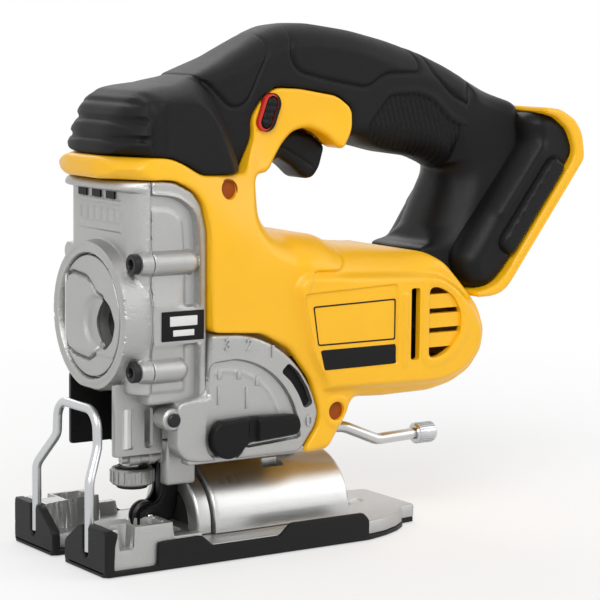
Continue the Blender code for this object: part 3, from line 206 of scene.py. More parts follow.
def rim_drop(depth: Array, radius: float | Array, power: float = 2.0) -> Array:
    """How far a rounded rim falls below the surface at this depth inside the outline."""
    share = np.clip(1.0 - depth / radius, 0.0, 1.0)
    return radius * (1.0 - (1.0 - share**power) ** (1.0 / power))


def ease(value: Array, width: float) -> Array:
    """0 up to the edge, 1 from this width inside it, smooth between."""
    share = np.clip(value / width + 0.5, 0.0, 1.0)
    return share * share * (3 - 2 * share)


def groove(distance: Array, width: float, depth: float) -> Array:
    """The depth of a round-bottomed groove at this distance from its middle."""
    return depth * np.exp(-((distance / width) ** 2))


@dataclass
class Relief:
    """A closed solid whose face is a height over a flat outline.

    Holes go right through. With a wall it is a shell, open towards the floor; a cavity raises the floor in
    places, so that a moving piece has room. Near each feature line the mesh
    is finer, so that grooves and steps stay crisp.
    """

    name: str
    outline: Array
    height: Height
    floor: float
    facing: Facing = Facing.LEFT
    wall: float | None = None
    spacing: float = 1.0
    rim_steps: tuple[float, ...] = (0.25, 0.7, 1.4, 2.4, 3.8)
    holes: list[Array] = field(default_factory=list)
    lines: list[tuple[Array, bool]] = field(default_factory=list)
    line_steps: tuple[float, ...] = (-0.8, -0.4, 0.0, 0.4, 0.8)
    cavity: Height | None = None

    def _samples(self, loops: list[Array]) -> Array:
        """The points inside the outline: rims first, then feature lines, then an even grid."""
        kept: list[Array] = []

        def keep(points: Array, clearance: float) -> None:
            """Keeps what lies inside and this clear of every loop."""
            deep = inside(points, loops[0])
            for hole in loops[1:]:
                deep &= ~inside(points, hole)
            points = points[deep]
            edge = np.min([distance_to(points, loop) for loop in loops], axis=0)
            kept.append(points[edge > clearance])

        for loop in loops:
            for reach in self.rim_steps:
                for side in (-1, 1):
                    keep(offset_line(loop, side * reach), reach * 0.97)
        for line, closed in self.lines:
            fine = resampled(line, self.spacing * 0.7, closed)
            for reach in self.line_steps:
                keep(offset_line(fine, reach, closed), 0.2)
        low, high = self.outline.min(axis=0), self.outline.max(axis=0)
        rows = np.arange(low[1], high[1], self.spacing * 0.87)
        grid = [
            (x + (self.spacing / 2 if number % 2 else 0), z)
            for number, z in enumerate(rows)
            for x in np.arange(low[0], high[0], self.spacing)
        ]
        keep(np.array(grid), self.spacing * 0.5)
        free = np.vstack(kept)
        cells = np.round(free / (self.spacing * 0.36)).astype(int)
        _, first = np.unique(cells, axis=0, return_index=True)
        return np.vstack([*loops, free[np.sort(first)]])

    def build(self) -> Piece:
        """Makes the solid's mesh object."""
        loops = [resampled(self.outline, self.spacing)] + [
            resampled(hole, self.spacing * 0.6) for hole in self.holes
        ]
        edges, start = [], 0
        for loop in loops:
            edges += [(start + i, start + (i + 1) % len(loop)) for i in range(len(loop))]
            start += len(loop)
        found, _, faces, *_ = delaunay_2d_cdt([Vector(p) for p in self._samples(loops)], edges, [], 1, 1e-5)
        flat = np.array([tuple(p) for p in found])
        triangles = np.array([face for face in faces if len(face) == 3])
        middles = flat[triangles].mean(axis=1)
        keep = inside(middles, loops[0])
        for hole in loops[1:]:
            keep &= ~inside(middles, hole)
        depth = distance_to(flat, loops[0])
        top = np.maximum(self.height(flat, depth), self.floor + 0.2)
        low = np.full(len(flat), self.floor)
        if self.wall:
            low = np.maximum(low, np.where(depth > self.wall, top - self.wall, low))
        if self.cavity:
            low = np.minimum(np.maximum(low, self.cavity(flat, depth)), top - 0.3)
        return self._solid(flat, top, low, triangles[keep])

    def _solid(self, flat: Array, top: Array, low: Array, triangles: Array) -> Piece:
        """Joins the face, its wall and its back into one closed mesh."""
        first = flat[triangles[:, 1]] - flat[triangles[:, 0]]
        second = flat[triangles[:, 2]] - flat[triangles[:, 0]]
        clockwise = first[:, 0] * second[:, 1] < first[:, 1] * second[:, 0]
        triangles = np.where((clockwise != self.facing.flips)[:, None], triangles[:, ::-1], triangles)
        count = len(flat)
        directed = {(a, b) for face in triangles.tolist() for a, b in zip(face, face[1:] + face[:1])}
        rim = [(a, b) for a, b in directed if (b, a) not in directed]
        walls = [(b, a, a + count, b + count) for a, b in sorted(rim)]
        back = (triangles[:, ::-1] + count).tolist()
        corners = np.vstack([self.facing.points(*flat.T, top), self.facing.points(*flat.T, low)])
        return mesh_object(self.name, corners, triangles.tolist() + back + walls)


def shown(name: str, data: bpy.types.ID) -> Piece:
    """A new object with this data, linked to the scene."""
    made = bpy.data.objects.new(name, data)
    bpy.context.scene.collection.objects.link(made)
    return made


def creased(mesh: bpy.types.Mesh, angle: float = 38.0) -> bpy.types.Mesh:
    """The mesh smooth, but for the edges that turn by more than this many degrees."""
    mesh.shade_smooth()
    mesh.set_sharp_from_angle(angle=math.radians(angle))
    return mesh


def mesh_object(name: str, corners: Array, faces: list[Sequence[int]]) -> Piece:
    """A shaded object from points, in metres, and faces that already look out."""
    used = np.unique(np.concatenate([np.array(face) for face in faces])) if faces else np.array([], int)
    where = np.full(len(corners), -1)
    where[used] = np.arange(len(used))
    mesh = bpy.data.meshes.new(name)
    mesh.from_pydata(corners[used].tolist(), [], [tuple(where[list(face)].tolist()) for face in faces])
    return shown(name, creased(mesh))


def finished_mesh(name: str, bm: bmesh.types.BMesh) -> Piece:
    """Turns a bmesh, which is freed, into a shaded object whose faces look out."""
    bmesh.ops.recalc_face_normals(bm, faces=bm.faces)
    mesh = bpy.data.meshes.new(name)
    bm.to_mesh(mesh)
    bm.free()
    return shown(name, creased(mesh))


def joined(name: str, pieces: Sequence[Piece]) -> Piece:
    """Several objects' meshes as one object, each keeping its own shading."""
    bm = bmesh.new()
    for piece in pieces:
        bm.from_mesh(piece.data)
        bpy.data.objects.remove(piece, do_unlink=True)
    return finished_mesh(name, bm)


def mirrored(piece: Piece, name: str) -> Piece:
    """A copy on the tool's other side."""
    bm = bmesh.new()
    bm.from_mesh(piece.data)
    bmesh.ops.scale(bm, vec=(1, -1, 1), verts=bm.verts)
    return finished_mesh(name, bm)


def made_by(make: Callable[..., object], *values: object) -> object:
    """A dataclass field whose default is made by calling this with these values."""
    return field(default_factory=lambda: make(*values))


@dataclass
class Field:
    """A value that changes smoothly over the side view, known at a few places."""

    known: list[Triple]
    softness: float = 3.0

    def at(self, points: Array) -> Array:
        """The value at each point, on a smooth surface through the known ones and within their range."""
        places = np.array(self.known)
        spread = np.linalg.norm(places[:, None, :2] - places[None, :, :2], axis=2)
        system = np.ones((len(places) + 1, len(places) + 1))
        system[:-1, :-1] = np.hypot(spread, self.softness)
        system[-1, -1] = 0.0
        weight = np.linalg.solve(system, np.append(places[:, 2], 0.0))
        gap = np.hypot(np.linalg.norm(points[:, None] - places[None, :, :2], axis=2), self.softness)
        return np.clip(gap @ weight[:-1] + weight[-1], places[:, 2].min(), places[:, 2].max())


# ---------------------------------------------------------------- geometry nodes


def feed(links: bpy.types.NodeLinks, target: Socket, value: object) -> None:
    """Links another node's socket to this input, or sets the input to a plain value."""
    if isinstance(value, Socket):
        links.new(value, target)
    else:
        target.default_value = value


def math_node(tree: bpy.types.NodeTree, operation: str, *values: object) -> Socket:
    """One math node's result in a tree."""
    node = tree.nodes.new("ShaderNodeMath")
    node.operation = operation
    for index, value in enumerate(values):
        feed(tree.links, node.inputs[index], value)
    return node.outputs[0]


class Tree:
    """A geometry node tree that is built with short calls."""

    def __init__(self, name: str, sockets: dict[str, tuple[str, object]]) -> None:
        """Makes the tree and its named inputs, with a geometry first and a material last.

        Args:
            name: The tree's name.
            sockets: Each other input's name, with its kind and default value.
        """
        self.group = bpy.data.node_groups.new(name, "GeometryNodeTree")
        wanted = {"Geometry": ("Geometry", None), **sockets, "Material": ("Material", None)}
        for label, (kind, value) in wanted.items():
            socket = self.group.interface.new_socket(label, in_out="INPUT", socket_type="NodeSocket" + kind)
            if value is not None:
                socket.default_value = value
        self.group.interface.new_socket("Geometry", in_out="OUTPUT", socket_type="NodeSocketGeometry")
        self.inputs = self.group.nodes.new("NodeGroupInput")

    def add(self, kind: str, **links: object) -> bpy.types.Node:
        """Adds a node; each keyword is an input, given as a socket to link or a value."""
        node = self.group.nodes.new(kind)
        for label, value in links.items():
            self.set(node, label, value)
        return node

    def set(self, node: bpy.types.Node, label: str, value: object) -> None:
        """Links or sets one input of a node, named with underscores for spaces."""
        feed(self.group.links, node.inputs[label.replace("_", " ")], value)

    def math(self, operation: str, *values: object) -> Socket:
        """One math node's result."""
        return math_node(self.group, operation, *values)

    def finish(self, geometry: Socket) -> bpy.types.NodeTree:
        """Ends the tree in Realize Instances and Set Material."""
        real = self.add("GeometryNodeRealizeInstances", Geometry=geometry)
        dressed = self.add(
            "GeometryNodeSetMaterial", Geometry=real.outputs[0], Material=self.inputs.outputs["Material"]
        )
        output = self.group.nodes.new("NodeGroupOutput")
        self.group.links.new(dressed.outputs[0], output.inputs[0])
        return self.group


@cache
def bars_tree() -> bpy.types.NodeTree:
    """A block repeated at each point of a line, turned to follow the line."""
    tree = Tree("bars along a line", {"Count": ("Int", 5), "Size": ("Vector", (0.001, 0.001, 0.001))})
    given = tree.inputs.outputs
    line = tree.add("GeometryNodeMeshToCurve", Mesh=given["Geometry"])
    points = tree.add("GeometryNodeCurveToPoints", Curve=line.outputs[0], Count=given["Count"])
    block = tree.add("GeometryNodeMeshCube", Size=given["Size"])
    turned = tree.add("FunctionNodeAlignRotationToVector", Vector=points.outputs["Tangent"])
    turned.axis = "X"
    turned.pivot_axis = "AUTO"
    bars = tree.add(
        "GeometryNodeInstanceOnPoints",
        Points=points.outputs["Points"],
        Instance=block.outputs[0],
        Rotation=turned.outputs[0],
    )
    return tree.finish(bars.outputs[0])


@cache
def ring_tree() -> bpy.types.NodeTree:
    """A block repeated round a circle about z, for knurls and grips."""
    sizes = {"Count": ("Int", 24), "Radius": ("Float", 0.004), "Size": ("Vector", (0.001, 0.001, 0.004))}
    tree = Tree("ring of bars", sizes)
    given = tree.inputs.outputs
    ring = tree.add("GeometryNodeMeshCircle", Vertices=given["Count"], Radius=given["Radius"])
    index = tree.add("GeometryNodeInputIndex")
    share = tree.math("DIVIDE", index.outputs[0], given["Count"])
    angle = tree.math("MULTIPLY", share, 2 * math.pi)
    turn = tree.add("ShaderNodeCombineXYZ", Z=angle)
    block = tree.add("GeometryNodeMeshCube", Size=given["Size"])
    bars = tree.add(
        "GeometryNodeInstanceOnPoints", Points=ring.outputs[0], Instance=block.outputs[0],
        Rotation=turn.outputs[0]
    )
    both = tree.add("GeometryNodeJoinGeometry")
    tree.group.links.new(given["Geometry"], both.inputs[0])
    tree.group.links.new(bars.outputs[0], both.inputs[0])
    return tree.finish(both.outputs[0])


@cache
def wire_tree() -> bpy.types.NodeTree:
    """A round wire along a line, with its corners bent to a radius."""
    tree = Tree("bent wire", {"Bend": ("Float", 0.006), "Radius": ("Float", 0.0018)})
    given = tree.inputs.outputs
    line = tree.add("GeometryNodeMeshToCurve", Mesh=given["Geometry"])
    bent = tree.add("GeometryNodeFilletCurve", Curve=line.outputs[0], Radius=given["Bend"])
    bent.mode = "POLY"
    tree.set(bent, "Count", 10)
    tree.set(bent, "Limit_Radius", True)
    round_section = tree.add("GeometryNodeCurvePrimitiveCircle", Resolution=20, Radius=given["Radius"])
    tube = tree.add(
        "GeometryNodeCurveToMesh", Curve=bent.outputs[0], Profile_Curve=round_section.outputs[0],
        Fill_Caps=True
    )
    smooth = tree.add("GeometryNodeSetShadeSmooth", Geometry=tube.outputs[0])
    return tree.finish(smooth.outputs[0])


def grown(name: str, base: bpy.types.Mesh, tree: bpy.types.NodeTree, **values: object) -> Piece:
    """Runs a node tree on a mesh and keeps the result as a plain mesh object.

    Args:
        name: The new object's name.
        base: The mesh that the tree starts from.
        tree: The tree to run.
        values: The tree's inputs, named with underscores for spaces.

    Returns:
        The object, linked to the scene.
    """
    source = shown(name + "_source", base)
    modifier = source.modifiers.new("grow", "NODES")
    modifier.node_group = tree
    for item in tree.interface.items_tree:
        if item.in_out == "INPUT" and item.name.replace(" ", "_") in values:
            modifier[item.identifier] = values[item.name.replace(" ", "_")]
    graph = bpy.context.evaluated_depsgraph_get()
    mesh = bpy.data.meshes.new_from_object(source.evaluated_get(graph))
    bpy.data.objects.remove(source, do_unlink=True)
    mesh.name = name
    return shown(name, mesh)


def line_mesh(name: str, points: Iterable[Vector]) -> bpy.types.Mesh:
    """A mesh of points joined in a row, for a tree to follow."""
    corners = list(points)
    mesh = bpy.data.meshes.new(name)
    mesh.from_pydata(corners, [(i, i + 1) for i in range(len(corners) - 1)], [])
    return mesh


# ---------------------------------------------------------------- finishes


class ShaderGroup:
    """A shader node group with named inputs and outputs."""

    def __init__(self, name: str, inputs: dict[str, float], outputs: dict[str, str]) -> None:
        """Makes the group's sockets.

        Args:
            name: The group's name.
            inputs: Each input's name and default number.
            outputs: Each output's name and socket type.
        """
        self.group = bpy.data.node_groups.new(name, "ShaderNodeTree")
        for label, value in inputs.items():
            socket = self.group.interface.new_socket(label, in_out="INPUT", socket_type="NodeSocketFloat")
            socket.default_value = value
        for label, kind in outputs.items():
            self.group.interface.new_socket(label, in_out="OUTPUT", socket_type=kind)
        self.given = self.group.nodes.new("NodeGroupInput").outputs
        self.result = self.group.nodes.new("NodeGroupOutput").inputs
        self.place = self.group.nodes.new("ShaderNodeTexCoord").outputs["Object"]

    def link(self, source: Socket, target: Socket) -> None:
        """Joins two sockets."""
        self.group.links.new(source, target)

    def math(self, operation: str, *values: object) -> Socket:
        """One math node's result."""
        return math_node(self.group, operation, *values)

    def noise(self, scale: object, detail: float, roughness: float = 0.55) -> Socket:
        """A noise texture's value over the object."""
        node = self.group.nodes.new("ShaderNodeTexNoise")
        node.inputs["Detail"].default_value = detail
        node.inputs["Roughness"].default_value = roughness
        self.link(self.place, node.inputs["Vector"])
        feed(self.group.links, node.inputs["Scale"], scale)
        return node.outputs["Fac"]

    def between(self, value: Socket, low: object, high: object) -> Socket:
        """The value as a smooth mask that rises from low to high."""
        node = self.group.nodes.new("ShaderNodeMapRange")
        node.interpolation_type = "SMOOTHSTEP"
        self.link(value, node.inputs["Value"])
        for label, limit in (("From Min", low), ("From Max", high)):
            feed(self.group.links, node.inputs[label], limit)
        return node.outputs["Result"]


def grain_group() -> bpy.types.NodeTree:
    """Moulded or cast grain: pits at one scale, with slow mottling under them."""
    made = ShaderGroup(
        "moulded grain", {"Grains per metre": 900.0},
        {"Height": "NodeSocketFloat", "Mottle": "NodeSocketFloat"}
    )
    fine = made.noise(made.given["Grains per metre"], 3.0)
    made.link(made.between(fine, 0.32, 0.68), made.result["Height"])
    made.link(made.noise(26, 4), made.result["Mottle"])
    return made.group


def wear_group() -> bpy.types.NodeTree:
    """Handling marks: scattered scuffs where the amount is above zero."""
    made = ShaderGroup("handling wear", {"Amount": 0.1}, {"Mask": "NodeSocketFloat"})
    threshold = made.math("SUBTRACT", 0.78, made.math("MULTIPLY", made.given["Amount"], 0.4))
    patches = made.between(made.noise(70, 7, 0.68), threshold, made.math("ADD", threshold, 0.06))
    made.link(
        made.math("MULTIPLY", patches, made.between(made.noise(9, 2), 0.42, 0.62)),
        made.result["Mask"]
    )
    return made.group


def dust_group() -> bpy.types.NodeTree:
    """A little fine dust on what faces up."""
    made = ShaderGroup("settled dust", {"Amount": 0.1}, {"Mask": "NodeSocketFloat"})
    parts = made.group.nodes.new("ShaderNodeSeparateXYZ")
    made.link(made.group.nodes.new("ShaderNodeNewGeometry").outputs["Normal"], parts.inputs[0])
    upward = made.between(parts.outputs["Z"], 0.35, 1.0)
    cloud = made.between(made.noise(45, 5), 0.35, 0.75)
    made.link(
        made.math("MULTIPLY", made.math("MULTIPLY", upward, cloud), made.given["Amount"]),
        made.result["Mask"]
    )
    return made.group


@dataclass(frozen=True)
class Finish:
    """One surface finish; depth is the grain's height in millimetres."""

    name: str
    slot: str
    colour: Triple
    roughness: float
    metallic: float = 0.0
    grains: float = 900.0
    depth: float = 0.05
    mottle: float = 0.06
    wear: float = 0.1
    worn: Triple = (0.3, 0.3, 0.3)
    dust: float = 0.06
    coat: float = 0.0
    specular: float = 0.4

    def material(self) -> bpy.types.Material:
        """The finish's material, made once."""
        found = bpy.data.materials.get(self.name)
        return found if found else self._make()

    def _make(self) -> bpy.types.Material:
        """Builds the material's nodes."""
        made = bpy.data.materials.new(self.name)
        made.use_nodes = True
        nodes, links = made.node_tree.nodes, made.node_tree.links
        shader = nodes["Principled BSDF"]

        def group(
            name: str, build: Callable[[], bpy.types.NodeTree], label: str, value: float
        ) -> bpy.types.Node:
            """Places a shared group with its own value."""
            node = nodes.new("ShaderNodeGroup")
            node.node_tree = bpy.data.node_groups.get(name) or build()
            node.inputs[label].default_value = value
            return node

        def tinted(base: object, other: Triple, mask: Socket) -> Socket:
            """Mixes a colour over another by a mask."""
            node = nodes.new("ShaderNodeMix")
            node.data_type = "RGBA"
            feed(links, node.inputs["A"], base if isinstance(base, Socket) else (*base, 1.0))
            node.inputs["B"].default_value = (*other, 1.0)
            links.new(mask, node.inputs["Factor"])
            return node.outputs["Result"]

        grain = group("moulded grain", grain_group, "Grains per metre", self.grains)
        wear = group("handling wear", wear_group, "Amount", self.wear)
        dust = group("settled dust", dust_group, "Amount", self.dust)
        darker = tuple(channel * (1.0 - self.mottle * 2.0) for channel in self.colour)
        mottled = tinted(self.colour, darker, grain.outputs["Mottle"])
        scuffed = tinted(mottled, self.worn, wear.outputs["Mask"])
        links.new(tinted(scuffed, (0.55, 0.5, 0.42), dust.outputs["Mask"]), shader.inputs["Base Color"])
        spread = nodes.new("ShaderNodeMapRange")
        spread.inputs["To Min"].default_value = self.roughness - self.mottle
        spread.inputs["To Max"].default_value = self.roughness + self.mottle
        links.new(grain.outputs["Mottle"], spread.inputs["Value"])
        links.new(spread.outputs["Result"], shader.inputs["Roughness"])
        bump = nodes.new("ShaderNodeBump")
        bump.inputs["Strength"].default_value = 1.0
        bump.inputs["Distance"].default_value = self.depth * MM
        links.new(grain.outputs["Height"], bump.inputs["Height"])
        links.new(bump.outputs["Normal"], shader.inputs["Normal"])
        shader.inputs["Metallic"].default_value = self.metallic
        shader.inputs["Coat Weight"].default_value = self.coat
        shader.inputs["Specular IOR Level"].default_value = self.specular
        shader.inputs["Coat Roughness"].default_value = 0.25
        return made


YELLOW = Finish("yellow_shell", "yellow_plastic", (0.96, 0.5, 0.003), 0.36, grains=2600, depth=0.012,
                worn=(0.75, 0.38, 0.02), wear=0.05, coat=0.15)
# Dark brown in place of the yellow: painted shade for the screw recesses, not the plastic's own colour.
SHADED_RECESS = Finish("deep_recess", "yellow_plastic", (0.32, 0.07, 0.004), 0.55, wear=0.0, dust=0.0, specular=0.2)
PALE = Finish("pale_marking", "black_plastic", (0.75, 0.75, 0.74), 0.4, wear=0.0, dust=0.0)
RUBBER = Finish("grip_rubber", "black_rubber", (0.007, 0.007, 0.008), 0.5, grains=1900, depth=0.05,
                worn=(0.02, 0.02, 0.02), dust=0.004, specular=0.17)
MOULDED = Finish("black_moulding", "black_plastic", (0.006, 0.006, 0.0065), 0.4, grains=2200, depth=0.025,
                 worn=(0.02, 0.02, 0.02), dust=0.004, specular=0.17)
COVER = Finish("shoe_cover_nylon", "black_plastic", (0.008, 0.008, 0.0085), 0.48, grains=1700, depth=0.04,
               worn=(0.04, 0.04, 0.04), wear=0.2, dust=0.006, specular=0.2)
CAST = Finish("cast_alloy", "cast_aluminium", (0.47, 0.47, 0.46), 0.36, 0.85, grains=2300, depth=0.05,
              worn=(0.7, 0.7, 0.7), wear=0.15, mottle=0.08)
STEEL = Finish("bright_wire", "bright_steel", (0.72, 0.72, 0.71), 0.22, 1.0, grains=3000, depth=0.008,
               worn=(0.4, 0.4, 0.4), mottle=0.04)
BLACK_STEEL = Finish("black_oxide_steel", "black_steel", (0.03, 0.03, 0.032), 0.36, 0.75, grains=3000,
                     depth=0.012, worn=(0.25, 0.25, 0.25), wear=0.2)
BRIGHT_CAST = Finish("machined_alloy", "cast_aluminium", (0.62, 0.62, 0.61), 0.3, 0.9, grains=2600,
                     depth=0.02, worn=(0.8, 0.8, 0.8), mottle=0.06)
WIRE = Finish("plated_wire", "bright_steel", (0.6, 0.61, 0.62), 0.3, 1.0, grains=3000, depth=0.008,
              worn=(0.4, 0.4, 0.4), mottle=0.04)
BRASS = Finish("brass_turning", "brass", (0.62, 0.44, 0.16), 0.3, 1.0, depth=0.01)
COPPER = Finish("copper_winding", "copper", (0.72, 0.32, 0.16), 0.34, 1.0, depth=0.01)
RED = Finish("red_marking", "black_plastic", (0.55, 0.02, 0.012), 0.4, wear=0.0, dust=0.0)
BY_SLOT = {
    finish.slot: finish for finish in (BRASS, COPPER, BLACK_STEEL, STEEL, CAST, MOULDED, RUBBER, YELLOW)
}


def settle(piece: Piece, finish: Finish, body: str = "housing", *nodes: str) -> Piece:
    """Gives a piece its finish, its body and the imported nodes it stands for.

    Args:
        piece: The finished object.
        finish: Its finish.
        body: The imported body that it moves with.
        nodes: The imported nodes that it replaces.

    Returns:
        The same object.
    """
    piece.data.materials.clear()
    piece.data.materials.append(finish.material())
    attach(piece, body)
    if nodes:
        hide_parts(*nodes)
    LOG.info("%s: %d faces on %s", piece.name, len(piece.data.polygons), body)
    return piece


def turned(name: str, start: Triple, axis: str, profile: Sequence[Pair], count: int = 40) -> Piece:
    """A solid of revolution.

    Args:
        name: The object's name.
        start: Where the profile's zero lies, in millimetres.
        axis: The world axis that it turns about: X, Y or Z.
        profile: (distance along the axis, radius) pairs; a closed ring where the first repeats as the last.
        count: Faces round the axis.

    Returns:
        The object.
    """
    ring = profile[0] == profile[-1]
    stations = profile[:-1] if ring else profile
    order = {"X": (0, 1, 2), "Y": (1, 2, 0), "Z": (2, 0, 1)}[axis]
    corners = np.zeros((len(stations) * count, 3))
    for row, (along, radius) in enumerate(stations):
        circle_points = circle((0, 0), max(radius, 1e-4), count)
        part = corners[row * count : (row + 1) * count]
        part[:, order[0]] = along
        part[:, order[1]] = circle_points[:, 0]
        part[:, order[2]] = circle_points[:, 1]
    corners = (corners + np.array(start) - np.array([HALF_LENGTH, 0, 0])) * MM
    rows = len(stations)
    faces = [
        (
            row * count + i,
            row * count + (i + 1) % count,
            (row + 1) % rows * count + (i + 1) % count,
            (row + 1) % rows * count + i,
        )
        for row in range(rows if ring else rows - 1)
        for i in range(count)
    ]
    if not ring:
        faces += [tuple(range(count - 1, -1, -1)), tuple((rows - 1) * count + i for i in range(count))]
    made = mesh_object(name, corners, faces)
    bm = bmesh.new()
    bm.from_mesh(made.data)
    bpy.data.objects.remove(made, do_unlink=True)
    bmesh.ops.remove_doubles(bm, verts=bm.verts, dist=1e-6)
    return finished_mesh(name, bm)


# ---------------------------------------------------------------- the yellow shell


def oval(radius: float, reach: float, shift: float = 0.0) -> Array:
    """The lock button's slanted oval at a given size, moved forwards or back."""
    centre, tilt = np.array([84.0 + shift, 173.0]), 70.0
    along = np.array([math.cos(math.radians(tilt)), math.sin(math.radians(tilt))]) * reach
    ends = [(centre + along, -90), (centre - along, 90)]
    return np.array(
        [p for end, turn in ends for p in bend(tuple(end), radius, tilt + turn, tilt + turn + 180, 10)]
    )


@dataclass
class Housing:
    """The yellow clamshell: nose band, column, trigger frame and motor barrel."""

    wall: float = 2.8
    parting: float = 0.02
    barrel_rise: float = 3.0
    shoulder_rise: float = 1.3
    shoulder_from: float = 92.0
    panel_sink: float = 0.9
    trigger_room: float = 9.3
    trigger_reach: float = 7.5
    trigger_span: Pair = (86.4, 120.6)
    recess_radius: float = 3.8
    screw_recesses: tuple[Pair, ...] = ((59, 144), (108.6, 53.6))
    slat_rows: tuple[float, float] = (79.3, 95.3)
    outline: Array = made_by(
        rounded,
        [
            (9, 148.8), (30, 148.8), (35, 148.3), (43, 144.4), (47, 139.4), (49.3, 129), (50, 89.3),
            (73, 87.6), (86.5, 80.3), (96.5, 67.3), (100.5, 55.2), (100.5, 49), (92.5, 38.2), (106, 38.2),
            (112.5, 47.5), (118.5, 58), (133, 57), (158, 57.2), (169, 59.8), (178, 65), (183.6, 73),
            (184.6, 82), (181, 91), (174.5, 98.4), (168.4, 104.8), (163, 110.4), (155.5, 115.2),
            (120, 118.6), (112.5, 120.4), (106, 124), (90, 125), (82, 127), (76.4, 132.5), (75.5, 139),
            (75.6, 146.2), (77.4, 148.6), (84.6, 149.4), (87.5, 154), (91.6, 160), (97, 165.2),
            (104, 166.7), (112, 163.7), (117.2, 158.6), (120, 157.5), (124, 165), (124.5, 174),
            (118, 179), (100, 182), (88.4, 182.5), (82, 178.2), (77, 171), (77.4, 163.6), (71, 150.8),
            (69, 149.8), (47, 149.8), (40, 153.8), (33, 156.8), (9, 157.5)
        ],
        3.0,
    )
    barrel: Array = made_by(
        rounded,
        [
            (101, 61.4), (158, 60), (168, 62.2), (176, 67), (181.6, 74), (182.8, 82), (179, 90.5),
            (171.5, 99.4), (159, 107.6), (91, 111), (86, 105), (93, 78), (100, 66)
        ],
        6.0,
    )
    panel: Array = made_by(
        rounded,
        [(90, 102.5), (136.5, 104), (136.5, 70.5), (100.5, 70), (95.5, 80)],
        2,
    )
    vent: Array = made_by(
        rounded,
        [
            (152, 101.5), (158, 101.2), (164.5, 97.5), (168.8, 90), (168.6, 82), (163, 75), (157.5, 72.3),
            (152, 72)
        ],
        3.0,
    )
    shoulder: Array = made_by(
        rounded,
        [
            (40, 140), (108, 140), (112.5, 122), (113.6, 114.4), (110, 110.4), (95, 110.8), (90, 96),
            (40, 96)
        ],
        4.0,
    )
    slot: Array = made_by(
        rounded,
        [(142.8, 72), (147.2, 72), (147.2, 101.5), (142.8, 101.5)],
        1.2,
    )
    half: Field = made_by(
        Field,
        [
            (7, 152, 30), (40, 152, 30.3), (52, 140, 31.5), (54, 110, 33), (62, 128, 32.5), (66, 146, 27),
            (71, 158, 21.5), (75, 172, 18.2), (95, 180, 17.4), (115, 174, 17.4), (92, 165, 17.4),
            (81, 153, 19.5), (74, 138, 28), (100, 115, 33), (100, 80, 33), (130, 60, 33), (170, 80, 33),
            (100, 45, 33), (112, 50, 32.5), (160, 108, 33)
        ],
    )
    rim: Field = made_by(
        Field,
        [
            (9, 153, 24), (24, 149, 2), (24, 157, 2), (42, 145, 1.5), (42, 153, 1.5), (50, 128, 1.2),
            (50, 100, 1.2), (75, 87, 1.2), (97, 66, 1.2), (100, 50, 1.2), (97, 39, 2), (108, 42, 4),
            (125, 57, 6), (158, 57, 7), (180, 67, 5), (184, 84, 3), (174, 98, 2), (160, 112, 3),
            (145, 116, 14), (120, 118, 16), (105, 124, 16), (90, 125, 16), (76, 134, 9), (77, 147, 3),
            (88, 157, 3), (104, 166, 3), (118, 158, 3), (124, 168, 1), (100, 182, 1), (84, 180, 1),
            (77, 168, 1), (73, 156, 1), (60, 150, 1)
        ],
    )

    def height(self, points: Array, depth: Array) -> Array:
        """The left surface's distance from the middle plane."""
        in_barrel = depth_in(points, self.barrel)
        raised = self.barrel_rise * ease(in_barrel - 1.8, 3.6)
        behind = ease(points[:, 0] - self.shoulder_from, 8.0)
        raised += self.shoulder_rise * ease(depth_in(points, self.shoulder), 1.6) * behind
        sunk = self.panel_sink * ease(depth_in(points, self.panel) - 0.4, 0.8)
        strip = 0.7 * ease(1.2 - np.abs(points[:, 0] - 139.8), 0.8) * ease(
            depth_in(points, self.barrel) - 9.0, 1.0
        )
        lip = 0.6 * ease(1.6 - np.abs(depth_in(points, self.vent) + 2.2), 0.8)
        ring = 0.5 * ease(1.2 - np.abs(distance_to(points, circle(self.screw_recesses[1], 5.2))), 0.8)
        body = self.half.at(points) + raised - sunk + strip + lip * 0.6 + ring
        drop = rim_drop(depth, self.rim.at(points))
        return body - drop

    def _slats(self, side: int) -> Piece:
        """Three slats in the vent, as blocks repeated up a line."""
        low, high = self.slat_rows
        line = line_mesh("vent_line", [place(160.2, side * 33.2, z) for z in (low, high)])
        size = (0.0058, 0.0032, 0.0185)
        return grown("vent_slats", line, bars_tree(), Count=3, Size=size, Material=YELLOW.material())

    def _trigger_room(self, points: Array, depth: Array) -> Array:
        """Clears the trigger's width round its opening."""
        arch = np.array([(87, 151), (91.6, 160), (97, 165.2), (104, 166.7), (112, 163.7), (117.2, 158.6)])
        front, rear = self.trigger_span
        near = distance_to(points, arch, closed=False) < self.trigger_reach
        near &= (points[:, 0] > front) & (points[:, 0] < rear)
        return np.where(near, self.trigger_room, 0.0)

    def _labels(self) -> None:
        """A black band and a thin ruled frame in each side's sunk panel, with no lettering."""

        def height(points: Array, depth: Array) -> Array:
            """The panel's surface and a little more."""
            return self.height(points, depth_in(points, self.outline)) + 0.12

        band = rounded([(98.8, 79.2), (135.8, 79.2), (135.8, 71.2), (101, 71)], 0.4)
        frame_line = rounded([(95, 97), (135.4, 97.8), (135.4, 81), (97.6, 81)], 0.6)
        clear = rounded([(95.7, 96.4), (134.8, 97.2), (134.8, 81.6), (98, 81.6)], 0.5)
        for side, facing in (("left", Facing.LEFT), ("right", Facing.RIGHT)):
            pieces = [
                Relief("band", band, height, 33.5, facing, spacing=1.6, rim_steps=(0.4, 1.2)).build(),
                Relief(
                    "rule", frame_line, height, 33.5, facing, spacing=1.0, holes=[clear], rim_steps=(0.3,)
                ).build(),
            ]
            settle(joined(f"{side}_plain_label", pieces), MOULDED)

